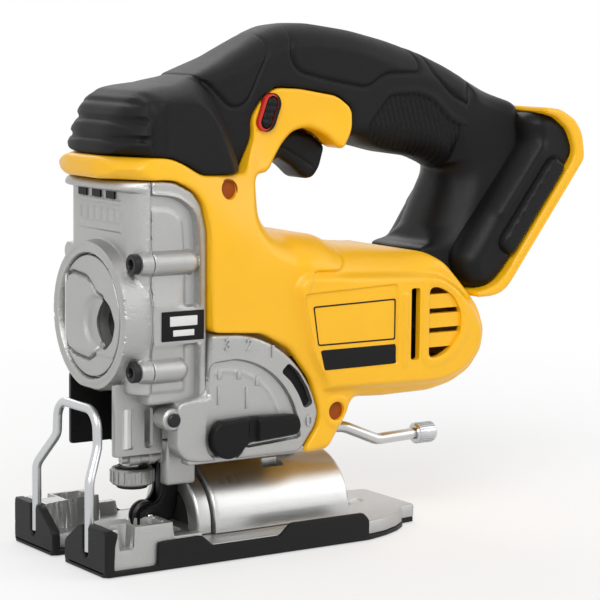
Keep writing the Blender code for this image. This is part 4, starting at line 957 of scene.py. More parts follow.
    def build(self) -> None:
        """Makes both halves, their slats, labels and screw recesses; the recesses' cups are dark brown, which
        is painted shade.
        """
        self._labels()
        recesses = [circle(at, self.recess_radius, 24) for at in self.screw_recesses]
        relief = Relief(
            "left_shell", self.outline, self.height, self.parting, wall=self.wall, cavity=self._trigger_room,
            holes=[self.vent, self.slot, oval(2.8, 4.2), *recesses],
            lines=[(self.barrel, True), (offset_line(self.barrel, 1.8), True), (self.panel, True)],
        )
        left = relief.build()
        right = mirrored(left, "right_shell")
        settle(left, YELLOW, "housing", "left_housing")
        settle(right, YELLOW, "housing", "right_housing")
        for side, word in ((-1, "left"), (1, "right")):
            slats = self._slats(side)
            slats.name = f"{word}_vent_slats"
            settle(slats, YELLOW)
            for number, (x, z) in enumerate(self.screw_recesses, start=1):
                # The cups' dark brown finish is painted shade in the recesses.
                settle(self._cup(f"{word}_screw_recess_{number}", side, x, z), SHADED_RECESS)

    def _cup(self, name: str, side: int, x: float, z: float) -> Piece:
        """The round recess over one housing screw, its floor a little below the surface; build gives it a
        dark brown finish that is painted shade.
        """
        at = np.array([(x, z)])
        face = float(self.height(at, depth_in(at, self.outline))[0])
        floor, mouth, radius = face - 1.6, face - 0.5, self.recess_radius + 0.05
        profile = [
            (-floor, 0.0), (-floor, radius), (-mouth, radius), (-mouth, radius + 0.4),
            (-floor + 2.4, radius + 0.4), (-floor + 2.4, 0.0)
        ]
        if side > 0:
            profile = [(-along, width) for along, width in reversed(profile)]
        return turned(name, (x, 0.0, z), "Y", profile, 28)


# ---------------------------------------------------------------- black pieces


def polyline(points: Sequence[Pair], radius: float = 4.0) -> Array:
    """An open line through the points with rounded corners."""
    return rounded(points, radius, closed=False)


@dataclass
class Handle:
    """The rubber grip halves with their moulded panels and ribbed hold."""

    outline: Array = made_by(
        rounded,
        [
            (51.8, 187.2), (61, 191.2), (69, 194.8), (78, 199.6), (86, 204), (93, 206.8), (102, 207.9),
            (111, 207.9), (130, 205.3), (149, 201.2), (166, 196.2), (178, 191.2), (189.8, 185.2),
            (180, 146.6), (173.5, 149.8), (166, 152.6), (150, 154.8), (137, 158), (125, 163.5),
            (125.2, 174.3), (118.3, 179.5), (100, 182.5), (88, 183.1), (81.2, 178.6), (76.2, 171),
            (76.6, 163.5), (70.8, 151.4), (69.4, 151.6), (63, 168.3), (58.8, 178.3)
        ],
        3.0,
    )
    front_panel: Array = made_by(
        polyline,
        [(52, 187), (56, 185), (60, 181.5), (66, 176), (70, 175), (75, 177), (80, 187), (86, 199), (85, 206)],
    )
    middle_panel: Array = made_by(
        polyline,
        [
            (98, 207), (97, 204), (95, 195), (99, 189), (111, 186), (133, 182), (142, 188), (160, 188),
            (160, 194), (158, 199)
        ],
    )
    rear_panel: Array = made_by(
        polyline,
        [(164, 198), (166, 190), (168, 187), (176, 179), (189, 172.5)],
    )
    ribbed: Array = made_by(
        rounded,
        [
            (133, 166), (144, 179), (158, 179.5), (166, 177), (176, 168), (188, 163), (184, 147),
            (171, 150), (158, 156), (141, 158.5)
        ],
        3.0,
    )
    rib_pitch: float = 2.5
    half: float = 17.4
    rim: Field = made_by(
        Field,
        [
            (58, 177, 0.5), (66, 160, 0.5), (74, 160, 0.9), (77, 170, 0.9), (82, 181, 0.9),
            (100, 182.5, 0.9), (122, 177, 0.9), (125, 168, 2), (135, 160, 11), (150, 155, 13),
            (166, 152, 15), (178, 147.5, 15), (185, 168, 0.3), (190, 185, 13), (175, 192, 14),
            (150, 201, 15), (110, 208, 15), (85, 203, 14), (68, 194, 11), (54, 188, 7)
        ],
    )

    def height(self, points: Array, depth: Array) -> Array:
        """The left surface's distance from the middle plane."""
        body = self.half - rim_drop(depth, self.rim.at(points))
        for line in (self.front_panel, self.middle_panel, self.rear_panel):
            body -= groove(distance_to(points, line, closed=False), 0.75, 0.9)
        deep = depth_in(points, self.ribbed)
        phase = (points[:, 0] + 0.3 * points[:, 1]) / self.rib_pitch * 2 * math.pi
        body -= ease(deep, 1.6) * (0.7 + 0.35 * np.cos(phase))
        return body + 0.25 * np.exp(-((deep / 1.2 + 1.2) ** 2))

    def build(self) -> None:
        """Makes both grip halves."""
        feature = [
            (self.front_panel, False), (self.middle_panel, False), (self.rear_panel, False),
            (self.ribbed, True)
        ]
        left = Relief("left_hold", self.outline, self.height, 0.02, spacing=0.85, lines=feature).build()
        right = mirrored(left, "right_hold")
        settle(left, RUBBER, "housing", "left_grip")
        settle(right, RUBBER, "housing", "right_grip")


@dataclass
class Nose:
    """The rubber nose over the yellow band, with ribs round its front corners."""

    half: float = 30.0
    rib_pitch: float = 6.9
    rib_depth: float = 2.2
    rib_rows: Pair = (157.1, 179.4)
    rib_end: float = 24.0
    valley_x: float = 27.0
    outline: Array = made_by(
        rounded,
        [
            (12.6, 157.8), (12.9, 162.6), (14.9, 164), (14.3, 165.2), (15.6, 169.6), (17.8, 171),
            (17.2, 172.2), (19.6, 176.2), (21.8, 177.6), (22.2, 179), (27, 182.2), (33, 183.4),
            (42, 184.4), (55, 188), (61, 178.5), (65, 168.5), (69.5, 151.4), (67.5, 150.1), (47.3, 150.1),
            (40.3, 154.1), (33, 157.1)
        ],
        1.0,
    )
    panel: Array = made_by(
        rounded,
        [(0, 140), (0, 176.5), (24, 177.5), (46, 177.5), (51.5, 173), (55.5, 166), (61, 150), (61, 140)],
        5,
    )
    rim: Field = made_by(
        Field,
        [
            (11, 160, 24), (15, 172, 22), (22, 179, 14), (28, 182, 9), (38, 184, 7), (52, 187, 7),
            (26, 157, 1.5), (42, 153, 1.5), (60, 150, 1.5), (68, 152, 1), (66, 158, 1), (58, 177, 1.2)
        ],
    )

    def height(self, points: Array, depth: Array) -> Array:
        """The left surface's distance from the middle plane."""
        beyond = (-depth_in(points, self.panel)).clip(0, 10.6)
        body = 29.8 - 0.05 * (points[:, 1] - 157.0) - 1.25 * (np.sqrt(beyond**2 + 1.0) - 1.0)
        body -= rim_drop(depth, self.rim.at(points))
        valley = np.exp(-(((points[:, 0] - self.valley_x) / 2.4) ** 2)) * ease(181.0 - points[:, 1], 4.0)
        body -= 2.0 * valley
        low, high = self.rib_rows
        rows = ease(points[:, 1] - low, 1.0) * ease(high - points[:, 1], 1.0) * ease(
            self.rib_end - points[:, 0], 2.0
        )
        wave = 0.5 + 0.5 * np.cos((points[:, 1] - low) / self.rib_pitch * 2 * math.pi)
        return body - self.rib_depth * rows * np.clip(wave * 2.4 - 1.3, 0, 1)

    def build(self) -> None:
        """Makes the nose from a left and a right face."""
        left = Relief(
            "nose_left", self.outline, self.height, 0.0, spacing=0.9, lines=[(self.panel, True)]
        ).build()
        right = mirrored(left, "nose_right")
        settle(joined("nose_rubber", [left, right]), RUBBER, "housing", "nose_bumper")


@dataclass
class BatteryFoot:
    """The black neck and the wide foot, with the yellow rail plate behind."""

    lean: float = 52.5
    plane: Pair = (221.22, 135)
    foot_half: float = 35.8
    rail_half: float = 36.0

    def on_plane(self, up: float, out: float) -> Pair:
        """The (x, z) of a point along and across the battery plane."""
        angle = math.radians(self.lean)
        x = self.plane[0] + up * math.cos(angle) + out * math.sin(angle)
        return x, self.plane[1] + up * math.sin(angle) - out * math.cos(angle)

    def _foot(self) -> Piece:
        """The left half of the wide foot."""
        on = self.on_plane
        outline = rounded(
            [
                on(-38, -25.4), on(12, -25.4), (206, 168), (212, 172.3), (218.6, 170.8), (226.2, 165),
                (228.8, 158),
                on(20, -5.2), on(8, -5.2), on(-44, -5.2), (185, 98.5), (179, 99), (173.5, 104), (172, 112),
            ],
            4.0,
        )
        bar = rounded(
            [on(13.5, -5.4), on(13, -13.5), on(9, -14.5), on(-31, -14.5), on(-34, -12.5), on(-34, -5.4)],
            3.0
        )
        ridge = polyline([on(12, -21), on(-22, -21)])
        rim = Field(
            [
                (*on(-38, -25), 12), (*on(0, -25.4), 11), (208, 169, 10), (219, 171, 4), (226, 165, 3),
                (*on(18, -5.2), 2), (*on(0, -5.2), 0.8), (*on(-30, -5.2), 0.8), (*on(-44, -5.2), 3),
                (182, 98, 6),
                (172, 110, 10),
            ]
        )

        def height(points: Array, depth: Array) -> Array:
            """The foot's side with its raised bar and the ridge beside it."""
            in_bar = depth_in(points, bar)
            side = self.foot_half - 2.6 + 2.4 * ease(in_bar - 0.6, 2.2)
            side -= groove(np.abs(in_bar), 0.45, 0.6)
            side += groove(distance_to(points, ridge, closed=False), 2.2, 1.2)
            return side - rim_drop(depth, rim.at(points))

        return Relief("left_foot_block", outline, height, 0.02, wall=4.0, lines=[(bar, True)]).build()

    def _neck(self) -> Piece:
        """The left half of the neck under the hold's rear end."""
        outline = rounded(
            [
                (185.8, 187), (189.9, 185), (196, 181.6), (203, 178), (210, 175), (211, 150),
                (196, 118), (182, 98.2), (177.2, 97.6), (169, 105.2), (163.4, 111), (160.4, 114.6),
                (162.6, 116), (166.8, 117.2), (168.6, 121), (180.1, 146.8), (176.2, 148.8),
            ],
            3.0,
        )
        rim = Field(
            [
                (181, 167, 0.8), (186, 187, 13), (190, 185, 13), (200, 180, 12), (210, 170, 5), (205, 135, 5),
                (180, 98, 4), (166, 108, 1.2), (160, 115, 1), (166, 117, 4), (170, 124, 15), (180, 147, 15),
            ]
        )
        width = Field(
            [
                (181, 167, 17.2), (188, 184, 17.2), (184, 150, 17.2), (197, 178, 17.8), (208, 170, 22),
                (200, 140, 24), (185, 110, 26), (170, 112, 20), (165, 130, 16.5), (175, 145, 17)
            ]
        )

        def height(points: Array, depth: Array) -> Array:
            """The neck, wider towards the foot."""
            return width.at(points) - rim_drop(depth, rim.at(points))

        return Relief("left_neck", outline, height, 0.02, wall=4.0).build()

    def _rail(self) -> Piece:
        """The yellow frame that the battery slides on, wrapping the foot's ends, with its terminal window."""
        on = self.on_plane
        outline = rounded(
            [
                on(-44, 0), on(21, 0), (233.4, 156.6), (232.4, 162.6), (228.4, 168.4), (220.6, 172.8),
                (211.6, 173.8), (211, 171.6), (218, 169.6), (225, 164), (228.2, 156.6), on(17, -5),
                on(-32, -4.6), (194, 106.5), (189, 101.6), (183.5, 99.2), (177.5, 98), (177.5, 95.6),
                (185.5, 95.6), (190.6, 97),
            ],
            2.4,
        )
        slide = polyline([on(-38, -1.6), on(14, -1.6)])

        def height(points: Array, depth: Array) -> Array:
            """A soft-edged side with a fine slide groove."""
            side = self.rail_half - rim_drop(depth, 1.6)
            return side - groove(distance_to(points, slide, closed=False), 0.5, 0.5)

        def window(points: Array, depth: Array) -> Array:
            """The opening in front of the terminals."""
            away = points - np.array(self.plane)
            angle = math.radians(self.lean)
            up = away[:, 0] * math.cos(angle) + away[:, 1] * math.sin(angle)
            return np.where((up > -26.0) & (up < 12.0), 19.4, 0.0)

        left = Relief(
            "rail_left", outline, height, 0.0, cavity=window, spacing=0.9, lines=[(slide, False)]
        ).build()
        return joined("rail_frame", [left, mirrored(left, "rail_right")])

    def build(self) -> None:
        """Makes both foot halves and the rail plate."""
        left = joined("left_foot_moulding", [self._foot(), self._neck()])
        right = mirrored(left, "right_foot_moulding")
        settle(left, MOULDED, "housing", "left_foot")
        settle(right, MOULDED, "housing", "right_foot")
        settle(self._rail(), YELLOW, "housing", "battery_rail_plate")


# ---------------------------------------------------------------- the gearcase


def slab(name: str, low: Triple, high: Triple, bevel: float = 0.5) -> Piece:
    """A block between two corners with rounded edges.

    Args:
        name: The object's name.
        low: The lowest corner in millimetres.
        high: The highest corner in millimetres.
        bevel: The edges' radius in millimetres.

    Returns:
        The object.
    """
    bm = bmesh.new()
    bmesh.ops.create_cube(bm, size=1.0)
    bmesh.ops.scale(bm, vec=[(b - a) * MM for a, b in zip(low, high)], verts=bm.verts)
    bmesh.ops.translate(bm, vec=(place(*low) + place(*high)) / 2, verts=bm.verts)
    bmesh.ops.bevel(bm, geom=bm.edges[:], offset=bevel * MM, segments=3, profile=0.5, affect="EDGES")
    return finished_mesh(name, bm)


@cache
def copies_tree() -> bpy.types.NodeTree:
    """One mesh repeated at every point of another, for screws and dots."""
    tree = Tree("copies at points", {"Part": ("Object", None)})
    given = tree.inputs.outputs
    part = tree.add("GeometryNodeObjectInfo", Object=given["Part"])
    points = tree.add("GeometryNodeMeshToPoints", Mesh=given["Geometry"])
    copies = tree.add(
        "GeometryNodeInstanceOnPoints", Points=points.outputs[0], Instance=part.outputs["Geometry"]
    )
    return tree.finish(copies.outputs[0])


THUMB = rounded(
    [
        (-10.5, 103.6), (-5.2, 98), (-2.8, 93), (-4.2, 88.7), (-8.6, 84), (-12.6, 82.4), (-18.4, 86.8),
        (-20.7, 93.5), (-16.8, 100.2),
    ],
    2.0,
)


@dataclass
class Gearcase:
    """The cast gearcase: front cover with its round boss, rear casting with the side lobes."""

    face_x: float = 18.5
    boss_x: float = 13.5
    split_x: float = 24.35
    half: float = 30.0
    lobe_half: float = 32.0
    boss_z: float = 94.7
    boss_radius: float = 29.7
    recess_radius: float = 24.5
    screws: tuple[Pair, ...] = ((-27.5, 117), (-27.5, 75.5), (27.5, 117), (27.5, 75.5))
    screw_boss: float = 4.7
    clamp_top: float = 72.0
    clamp_room: float = 12.4
    plunger_x: float = 33.0
    plunger_reach: float = 9.0
    plunger_room: float = 6.2

    def _front(self) -> Piece:
        """The front cover as a relief seen from the front."""
        side = [(28.6, 66)]
        side += bend((27.4, 75.5), self.screw_boss, -64, 64, 8)
        side += bend((0.0, self.boss_z), self.boss_radius + 1.8, -25, 25, 12)
        side += bend((27.4, 117), self.screw_boss, -64, 64, 8)
        side += [(28.8, 126), (28.8, 148.3)]
        outline = rounded(side + [(-y, z) for y, z in reversed(side)], 1.5)
        centre = (0, self.boss_z)
        boss, recess = circle(centre, self.boss_radius, 90), circle(centre, self.recess_radius, 80)
        bosses = [circle(at, self.screw_boss, 20) for at in self.screws]

        def height(points: Array, depth: Array) -> Array:
            """The boss, its recess, the raised screw pads and the top plate with its raised bars."""
            radial = np.hypot(points[:, 0], points[:, 1] - self.boss_z)
            rise = (self.face_x - self.boss_x) * (1 - ease(radial - self.boss_radius + 0.4, 1.0))
            shoulder = 5.4 * np.clip((np.abs(points[:, 0]) - 19.5) / 9.0, 0, 1) ** 2
            rise -= shoulder * ease(radial - self.boss_radius, 1.0)
            rise += 6.5 * ease(points[:, 1] - 144.2, 1.4) * (
                1 - np.clip((np.abs(points[:, 0]) - 8) / 21, 0, 1) ** 2
            )
            rise -= 3.0 * (1 - ease(radial - self.recess_radius + 0.1, 0.5))
            rise -= 0.35 * np.exp(-(((radial - 27.2) / 0.5) ** 2))
            pads = np.max(
                [1 - ease(np.hypot(*(points - at).T) - self.screw_boss + 0.3, 0.8) for at in self.screws],
                axis=0
            )
            rise = np.where(pads > 0.02, np.maximum(rise, -6.2 + 5.0 * pads), rise)
            bars = np.zeros(len(points))
            for z in (129, 139.5):
                bars = np.maximum(
                    bars,
                    ease(0.8 - np.abs(points[:, 1] - z), 0.5) * ease(17.0 - np.abs(points[:, 0]), 0.6)
                )
            cells = np.abs((points[:, 0] + 100.0) % 5.2 - 2.6)
            letters = ease(1.9 - cells, 0.5) * ease(
                2.6 - np.abs(points[:, 1] - 134.2), 0.5
            ) * ease(15.4 - np.abs(points[:, 0]), 0.4)
            rise += 0.55 * np.maximum(bars, letters) * (radial > self.boss_radius)
            return -self.face_x + rise - rim_drop(depth, np.where(points[:, 1] > 146, 3.0, 1.4))

        lines = [(boss, True), (recess, True)] + [(line, True) for line in bosses]
        lines += [(polyline([(-17, z), (17, z)]), False) for z in (129, 139.5)]
        return Relief("front_casting", outline, height, -self.split_x, Facing.FRONT, holes=[THUMB],
                      lines=lines, spacing=0.9).build()

    def _case(self) -> Piece:
        """The left half of the rear casting's box."""
        outline = rounded(
            [
                (24.65, 62.2), (49.2, 62.2), (49.2, 88.9), (49.2, 128.6), (46.4, 138.8), (42.6, 143.7),
                (35, 147.6), (30, 148.3), (24.65, 148.3),
            ],
            1.0,
        )
        ridge = polyline([(45, 62), (45, 118), (43.6, 136), (36, 142), (25, 143.2)], 6.0)
        pads = [polyline([(24, z), (end, z)]) for z, end in ((117, 41), (75.5, 36.5))]

        def height(points: Array, depth: Array) -> Array:
            """The side with the screw bosses running back and the raised edge band."""
            deep = depth_in(points, ridge_area)
            side = self.half - 0.4 - 2.6 * ease(deep, 0.9) + 1.2 * ease(deep - 5.0, 1.4)
            side += 0.7 * groove(deep + 0.4, 0.6, 1.0)
            side += 1.9 * np.exp(
                -(((points[:, 1] - self.boss_z) / 12.0) ** 2)
            ) * ease(38.0 - points[:, 0], 8.0)
            pad = ease(depth_in(points, badge) + 1.0, 1.5)
            side += (self.half - 0.3 - side) * pad
            for line in pads:
                away = distance_to(points, line, closed=False)
                side = np.maximum(
                    side, self.half - 2.5 + np.sqrt(np.clip(self.screw_boss**2 - away**2, 0, None))
                )
            return side - rim_drop(depth, np.where(points[:, 0] < 26, 0.9, 1.2))

        ridge_area = np.vstack([ridge, [(20, 143), (20, 62)]])
        badge = np.array([(26, 86), (48.6, 86), (48.6, 99), (26, 99)])

        def room(points: Array, depth: Array) -> Array:
            """The open bottom that the plunger and its clamp move through."""
            over_plunger = np.abs(points[:, 0] - self.plunger_x) < self.plunger_reach
            above = np.where(over_plunger, self.plunger_room, 0.0)
            return np.where(points[:, 1] < self.clamp_top, self.clamp_room, above)

        lines = [(ridge, False)] + [
            (offset_line(line, reach, False), False) for line in pads for reach in (-4.4, 4.4)
        ]
        return Relief("case_left", outline, height, 0.0, lines=lines, wall=6.0, cavity=room).build()

    def _lobe(self, dial: bool) -> Piece:
        """One side lobe with its leg; the left one carries the orbital dial."""
        outline = rounded(
            [
                (35, 62.5), (35, 44), (38.5, 40), (45, 38.8), (91.5, 38.5), (99, 48.6),
                *bend((57, 43.8), 44.3, 13, 84, 20), (49.8, 88.4), (48.8, 66),
            ],
            2.5,
        )
        pivot = (57, 47.5)
        arc_line = rounded(
            [
                (51, 77.4), *bend((57, 44), 34.2, 84, 8, 24), (91.6, 44.6), (67, 43),
                *bend(pivot, 9.4, 335, 180, 14), (48.4, 60), (50, 75)
            ],
            1.0,
        )
        slot = rounded(
            [
                (82.2, 71.5), (85.8, 75), (90.6, 70.8), (95, 64), (97.6, 57.6), (93.4, 55.8),
                (90.5, 62), (87, 67.2)
            ],
            1.6
        )

        def height(points: Array, depth: Array) -> Array:
            """A flat lobe with a raised border and a sunk dial."""
            side = np.full(len(points), self.lobe_half)
            column = ease(50.5 - points[:, 0], 1.5)
            side -= 1.4 * column * ease(points[:, 1] - 64.0, 2.0)
            if dial:
                deep = depth_in(points, arc_line)
                side -= 1.6 * ease(deep, 0.9)
                rings = np.hypot(points[:, 0] - pivot[0], points[:, 1] - pivot[1])
                side += 0.35 * ease(deep - 2, 1.0) * np.exp(-(((rings - 26.0) / 0.5) ** 2))
            else:
                side -= 1.2 * ease(depth - 4.0, 1.0)
            return side - rim_drop(depth, 1.2)

        lines = [(arc_line, True)] if dial else [(offset_line(resampled(outline, 1.0), 4.0), True)]
        facing = Facing.LEFT if dial else Facing.RIGHT
        holes = [slot] if dial else []
        return Relief("lobe", outline, height, 24.0, facing, holes=holes, lines=lines, spacing=0.9).build()

    def build(self) -> None:
        """Makes both castings, the dial's figures and the screws."""
        front = self._front()
        settle(front, CAST, "housing", "gearcase_front")
        left = self._case()
        right = mirrored(left, "case_right")
        wall = slab("wall", (44.8, -24.2, 40), (48.9, 24.2, 64))
        lugs = [slab("lug", (38.0, y - 3.0, 28.0), (51.2, y + 3.0, 46.0), 1.2) for y in (-15.6, 15.6)]
        ledges = [slab("ledge", (40.0, y - 3.0, 38.0), (97.0, y + 3.0, 40.8), 0.8) for y in (-28.3, 28.3)]
        profile = [(-31.2, 0), (-31.2, 3.6), (-30.4, 4.4), (-23, 4.4), (-23, 0)]
        boss = turned("leg_boss", (33.4, 0, 56.5), "Y", profile, 40)
        sides = [self._lobe(True), self._lobe(False)]
        rear = joined("rear_casting", [left, right, *sides, wall, *lugs, *ledges, boss])
        settle(rear, CAST, "housing", "gearcase_rear")
        # Black plates behind the dial slot and the thumb opening are painted shade inside the openings, not
        # parts of the tool.
        shade = slab("dial_slot_backing", (80, -29.4, 54), (98.4, -28.6, 77), 0.2)
        settle(shade, MOULDED)
        dark = slab("thumb_pocket", (20.5, -23.5, 80), (22, -1, 108), 0.4)
        settle(dark, MOULDED)
        self._badge()
        self._figures()
        self._vents()
        self._screws()

    def _badge(self) -> None:
        """A small black plate with plain pale blocks where lettering would be, and a black screw."""
        plate = slab("side_badge", (28.8, -30.2, 86.9), (47.6, -29, 98.4), 0.35)
        settle(plate, MOULDED)
        blocks = [
            slab("block", (low, -30.45, z - tall), (high, -30.0, z + tall), 0.2)
            for low, high, z, tall in ((32.2, 44.4, 94.6, 1.9), (33.6, 43.0, 90.0, 1.2))
        ]
        settle(joined("badge_blocks", blocks), PALE)
        profile = [(-32.4, 0), (-32.4, 2.2), (-32, 2.7), (-30.8, 2.7), (-30.8, 0)]
        settle(turned("leg_screw", (33.4, 0, 56.5), "Y", profile, 32), BLACK_STEEL)

    def _figures(self) -> None:
        """Generic figures 0 to 3 round the dial, with a tick by each."""
        ticks = []
        for figure, (x, z) in enumerate(((95.8, 50.5), (78, 79.8), (67.4, 83.4), (57.3, 84))):
            curve = bpy.data.curves.new("figure", "FONT")
            curve.body = str(figure)
            curve.size = 6.6 * MM
            curve.extrude = 0.5 * MM
            curve.offset = 0.12 * MM
            curve.bevel_depth = 0.08 * MM
            curve.align_x = "CENTER"
            curve.align_y = "CENTER"
            holder = shown("figure", curve)
            holder.matrix_world = Matrix.Translation(
                place(x, -self.lobe_half, z)
            ) @ Matrix.Rotation(math.pi / 2, 4, "X")
            bpy.context.view_layer.update()
            mesh = bpy.data.meshes.new_from_object(
                holder.evaluated_get(bpy.context.evaluated_depsgraph_get())
            )
            mesh.transform(holder.matrix_world)
            bpy.data.objects.remove(holder, do_unlink=True)
            ticks.append(shown("figure", mesh))
        for x, z in ((54.5, 72.5), (63.5, 71.8), (72, 68.6)):
            ticks.append(slab("tick", (x - 1.0, -30.95, z - 1.9), (x + 1.0, -30.0, z + 1.9), 0.4))
        for x, low, high in ((54, 60.5, 68), (67, 58, 66.5)):
            ticks.append(slab("tick", (x - 0.5, -30.9, low), (x + 0.5, -30.0, high), 0.2))
        bm = bmesh.new()
        for piece in ticks:
            bm.from_mesh(piece.data)
            bpy.data.objects.remove(piece, do_unlink=True)
        bmesh.ops.remove_doubles(bm, verts=bm.verts, dist=1e-6)
        settle(finished_mesh("dial_figures", bm), CAST)

    def _vents(self) -> None:
        """Three black blocks in a row under the yellow band: painted shade standing for the vent slots."""
        line = line_mesh("vents", [place(self.face_x - 0.05, y, 142.6) for y in (-9, 13)])
        made = grown(
            "front_vents", line, bars_tree(), Count=3, Size=(0.0064, 0.0012, 0.0036),
            Material=MOULDED.material()
        )
        settle(made, MOULDED)

    def _screws(self) -> None:
        """Socket screws in the four pads, one head repeated at each."""
        head = turned(
            "head", (0, 0, 0), "X",
            [(1.9, 1.9), (-1.7, 1.9), (-2, 2.1), (-2, 3.5), (-1.6, 3.95), (2.2, 3.95), (2.2, 0)], 36
        )
        head.data.transform(Matrix.Translation((HALF_LENGTH * MM, 0, 0)))
        points = bpy.data.meshes.new("screw_places")
        points.from_pydata(
            [place(19.0 + max(y, 0.0) * 0.14, y * (0.84 if y > 0 else 0.96), z) for y, z in self.screws],
            [], []
        )
        made = grown("casing_screws", points, copies_tree(), Part=head, Material=BLACK_STEEL.material())
        bpy.data.objects.remove(head, do_unlink=True)
        creased(made.data, 35)
        settle(made, BLACK_STEEL, "housing", *[f"gearcase_screw_{number}" for number in (1, 2, 3, 4)])


# ---------------------------------------------------------------- levers, controls and wires


@dataclass
class ReleaseLever:
    """The hinged plate in the boss with its finger opening and scooped edge."""

    face_x: float = 13.6
    back_x: float = 16.2
    boss_z: float = 94.7
    radius: float = 23.7
    chord: float = 17.5
    tab_half: float = 12.0
    scoop: Triple = (-5.5, 92.6, 10.2)

    def build(self) -> None:
        """Makes the lever as a relief seen from the front."""
        reach = math.degrees(math.acos(self.chord / self.radius))
        disc = bend((0.0, self.boss_z), self.radius, reach, 360 - reach, 60)
        tab = [(19.3, self.boss_z - self.tab_half), (19.3, self.boss_z + self.tab_half)]
        outline = np.array(disc + [(self.chord, tab[0][1]), *tab, (self.chord, tab[1][1])])
        seams = [
            polyline(
                [
                    (19.3, 108.4), (14.7, 110.8), (4.2, 110), (-1.4, 107.8), (-5.6, 104.1),
                    (-10.5, 103.2)
                ],
                1.5
            ),
            polyline(
                [(19.3, 81.6), (13.3, 78.4), (1.4, 77.4), (-4.9, 80.6), (-5.4, 84), (-9.5, 84.5)], 1.5
            ),
        ]

        def height(points: Array, depth: Array) -> Array:
            """A flat plate with cut seams and a scooped thumb edge."""
            away = np.min([distance_to(points, line, closed=False) for line in seams], axis=0)
            scoop = self.scoop[2] - np.hypot(points[:, 0] - self.scoop[0], points[:, 1] - self.scoop[1])
            low = 1.7 * ease(scoop, 2.6)
            outer = 0.5 * ease(np.abs(points[:, 1] - self.boss_z) - 14.5, 1.0)
            return -self.face_x - groove(away, 0.55, 2.2) - low - outer - rim_drop(depth, 0.6)

        edge = circle(self.scoop[:2], self.scoop[2], 50)
        lines = [(seam, False) for seam in seams] + [(edge, True)]
        made = Relief("release_plate", outline, height, -self.back_x, Facing.FRONT, holes=[THUMB],
                      lines=lines, spacing=0.9).build()
        settle(made, CAST, "release_lever", "blade_release_lever")


@dataclass
class OrbitalLever:
    """The stepped black lever on the dial."""

    pivot: Pair = (57, 47.5)
    hub: float = 8.1
    face: float = 36.0
    rim_face: float = 32.25
    rim_reach: float = 28.6

    def build(self) -> None:
        """Makes the lever and its shaft."""
        x, z = self.pivot
        outline = rounded(
            [
                *bend(self.pivot, self.hub, 118, 330, 14), (67.2, 44.9), (88.8, 46.2), (90.3, 50),
                (89, 54.4), (68, 55.2)
            ],
            1.6,
        )
        grip = rounded([(69.5, 45.6), (88.5, 46.9), (89.7, 50), (88.4, 53.8), (69.5, 54.4)], 1.8)

        def height(points: Array, depth: Array) -> Array:
            """A low hub, a narrow channel and a raised grip."""
            raised = 0.9 * ease(depth_in(points, grip), 1.0)
            channel = 0.9 * ease(2.0 - np.abs(points[:, 0] - 67.6), 0.8)
            return self.face - 0.9 + raised - channel - rim_drop(depth, 1.1)

        def clearance(points: Array, depth: Array) -> Array:
            """The underside, raised at the tip so that it passes over the dial's rim."""
            reach = np.hypot(points[:, 0] - x, points[:, 1] - z)
            return np.where(reach > self.rim_reach, self.rim_face, 0.0)

        plate = Relief(
            "lever_plate", outline, height, 31.2, cavity=clearance, lines=[(grip, True)], spacing=0.8
        ).build()
        shaft = turned(
            "lever_shaft", (x, 0.0, z + 0.5), "Y",
            [(-31.3, 0), (-31.3, 3.9), (-12.2, 3.9), (-12.2, 0)], 24
        )
        settle(joined("orbital_paddle", [plate, shaft]), MOULDED, "orbital", "orbital_lever")


@dataclass
class Controls:
    """The trigger and the lock button with its red mark."""

    half: float = 8.4
    outline: Array = made_by(
        rounded,
        [
            (89, 149.8), (92.4, 158.2), (97.6, 163.8), (104, 165.6), (112.4, 163.4), (119.2, 158.4),
            (116.6, 149.4), (113.4, 145.4), (109.2, 145.2), (103, 150.6), (96.4, 154.2), (92.2, 151.4)
        ],
        2.2,
    )

    def build(self) -> None:
        """Makes the trigger and the button."""
        ledge = polyline([(96, 159.5), (104, 156), (112, 150.5)], 3.0)

        def height(points: Array, depth: Array) -> Array:
            """A rounded finger pad with a fine ledge."""
            side = self.half - rim_drop(depth, 3.2)
            return side - groove(distance_to(points, ledge, closed=False), 0.5, 0.5)

        left = Relief("trigger_left", self.outline, height, 0.0, spacing=0.7, lines=[(ledge, False)]).build()
        right = mirrored(left, "trigger_right")
        settle(joined("finger_trigger", [left, right]), MOULDED, "trigger_lever", "trigger")
        self._button()

    def _button(self) -> None:
        """The slanted oval lock button in its dark frame; a red crescent stands in front of it."""

        def pad_height(points: Array, depth: Array) -> Array:
            """A soft dome with grip ridges."""
            return 19.9 - rim_drop(depth, 1.0) - 0.3 * (np.cos((points[:, 1] - 173.0) * 2.4) > 0.4)

        def flat(top: float) -> Height:
            """A flat face with a fine soft edge."""
            return lambda points, depth: top - rim_drop(depth, 0.5)

        left = Relief("button_left", oval(2.35, 4.1), pad_height, 0.0, spacing=0.6).build()
        settle(
            joined("lock_button_pad", [left, mirrored(left, "button_right")]), MOULDED, "lock_button",
            "lock_off_button"
        )
        for name, outline, top, floor, finish in (
            ("button_frame", oval(4.3, 3.6, 0.5), 19.0, 16.9, MOULDED),
            ("button_mark", oval(3.5, 4.2, -0.6), 19.5, 17.9, RED),
        ):
            half = Relief(name, outline, flat(top), floor, holes=[oval(2.7, 4.1)], spacing=0.7).build()
            settle(joined(name + "s", [half, mirrored(half, name + "_right")]), finish)


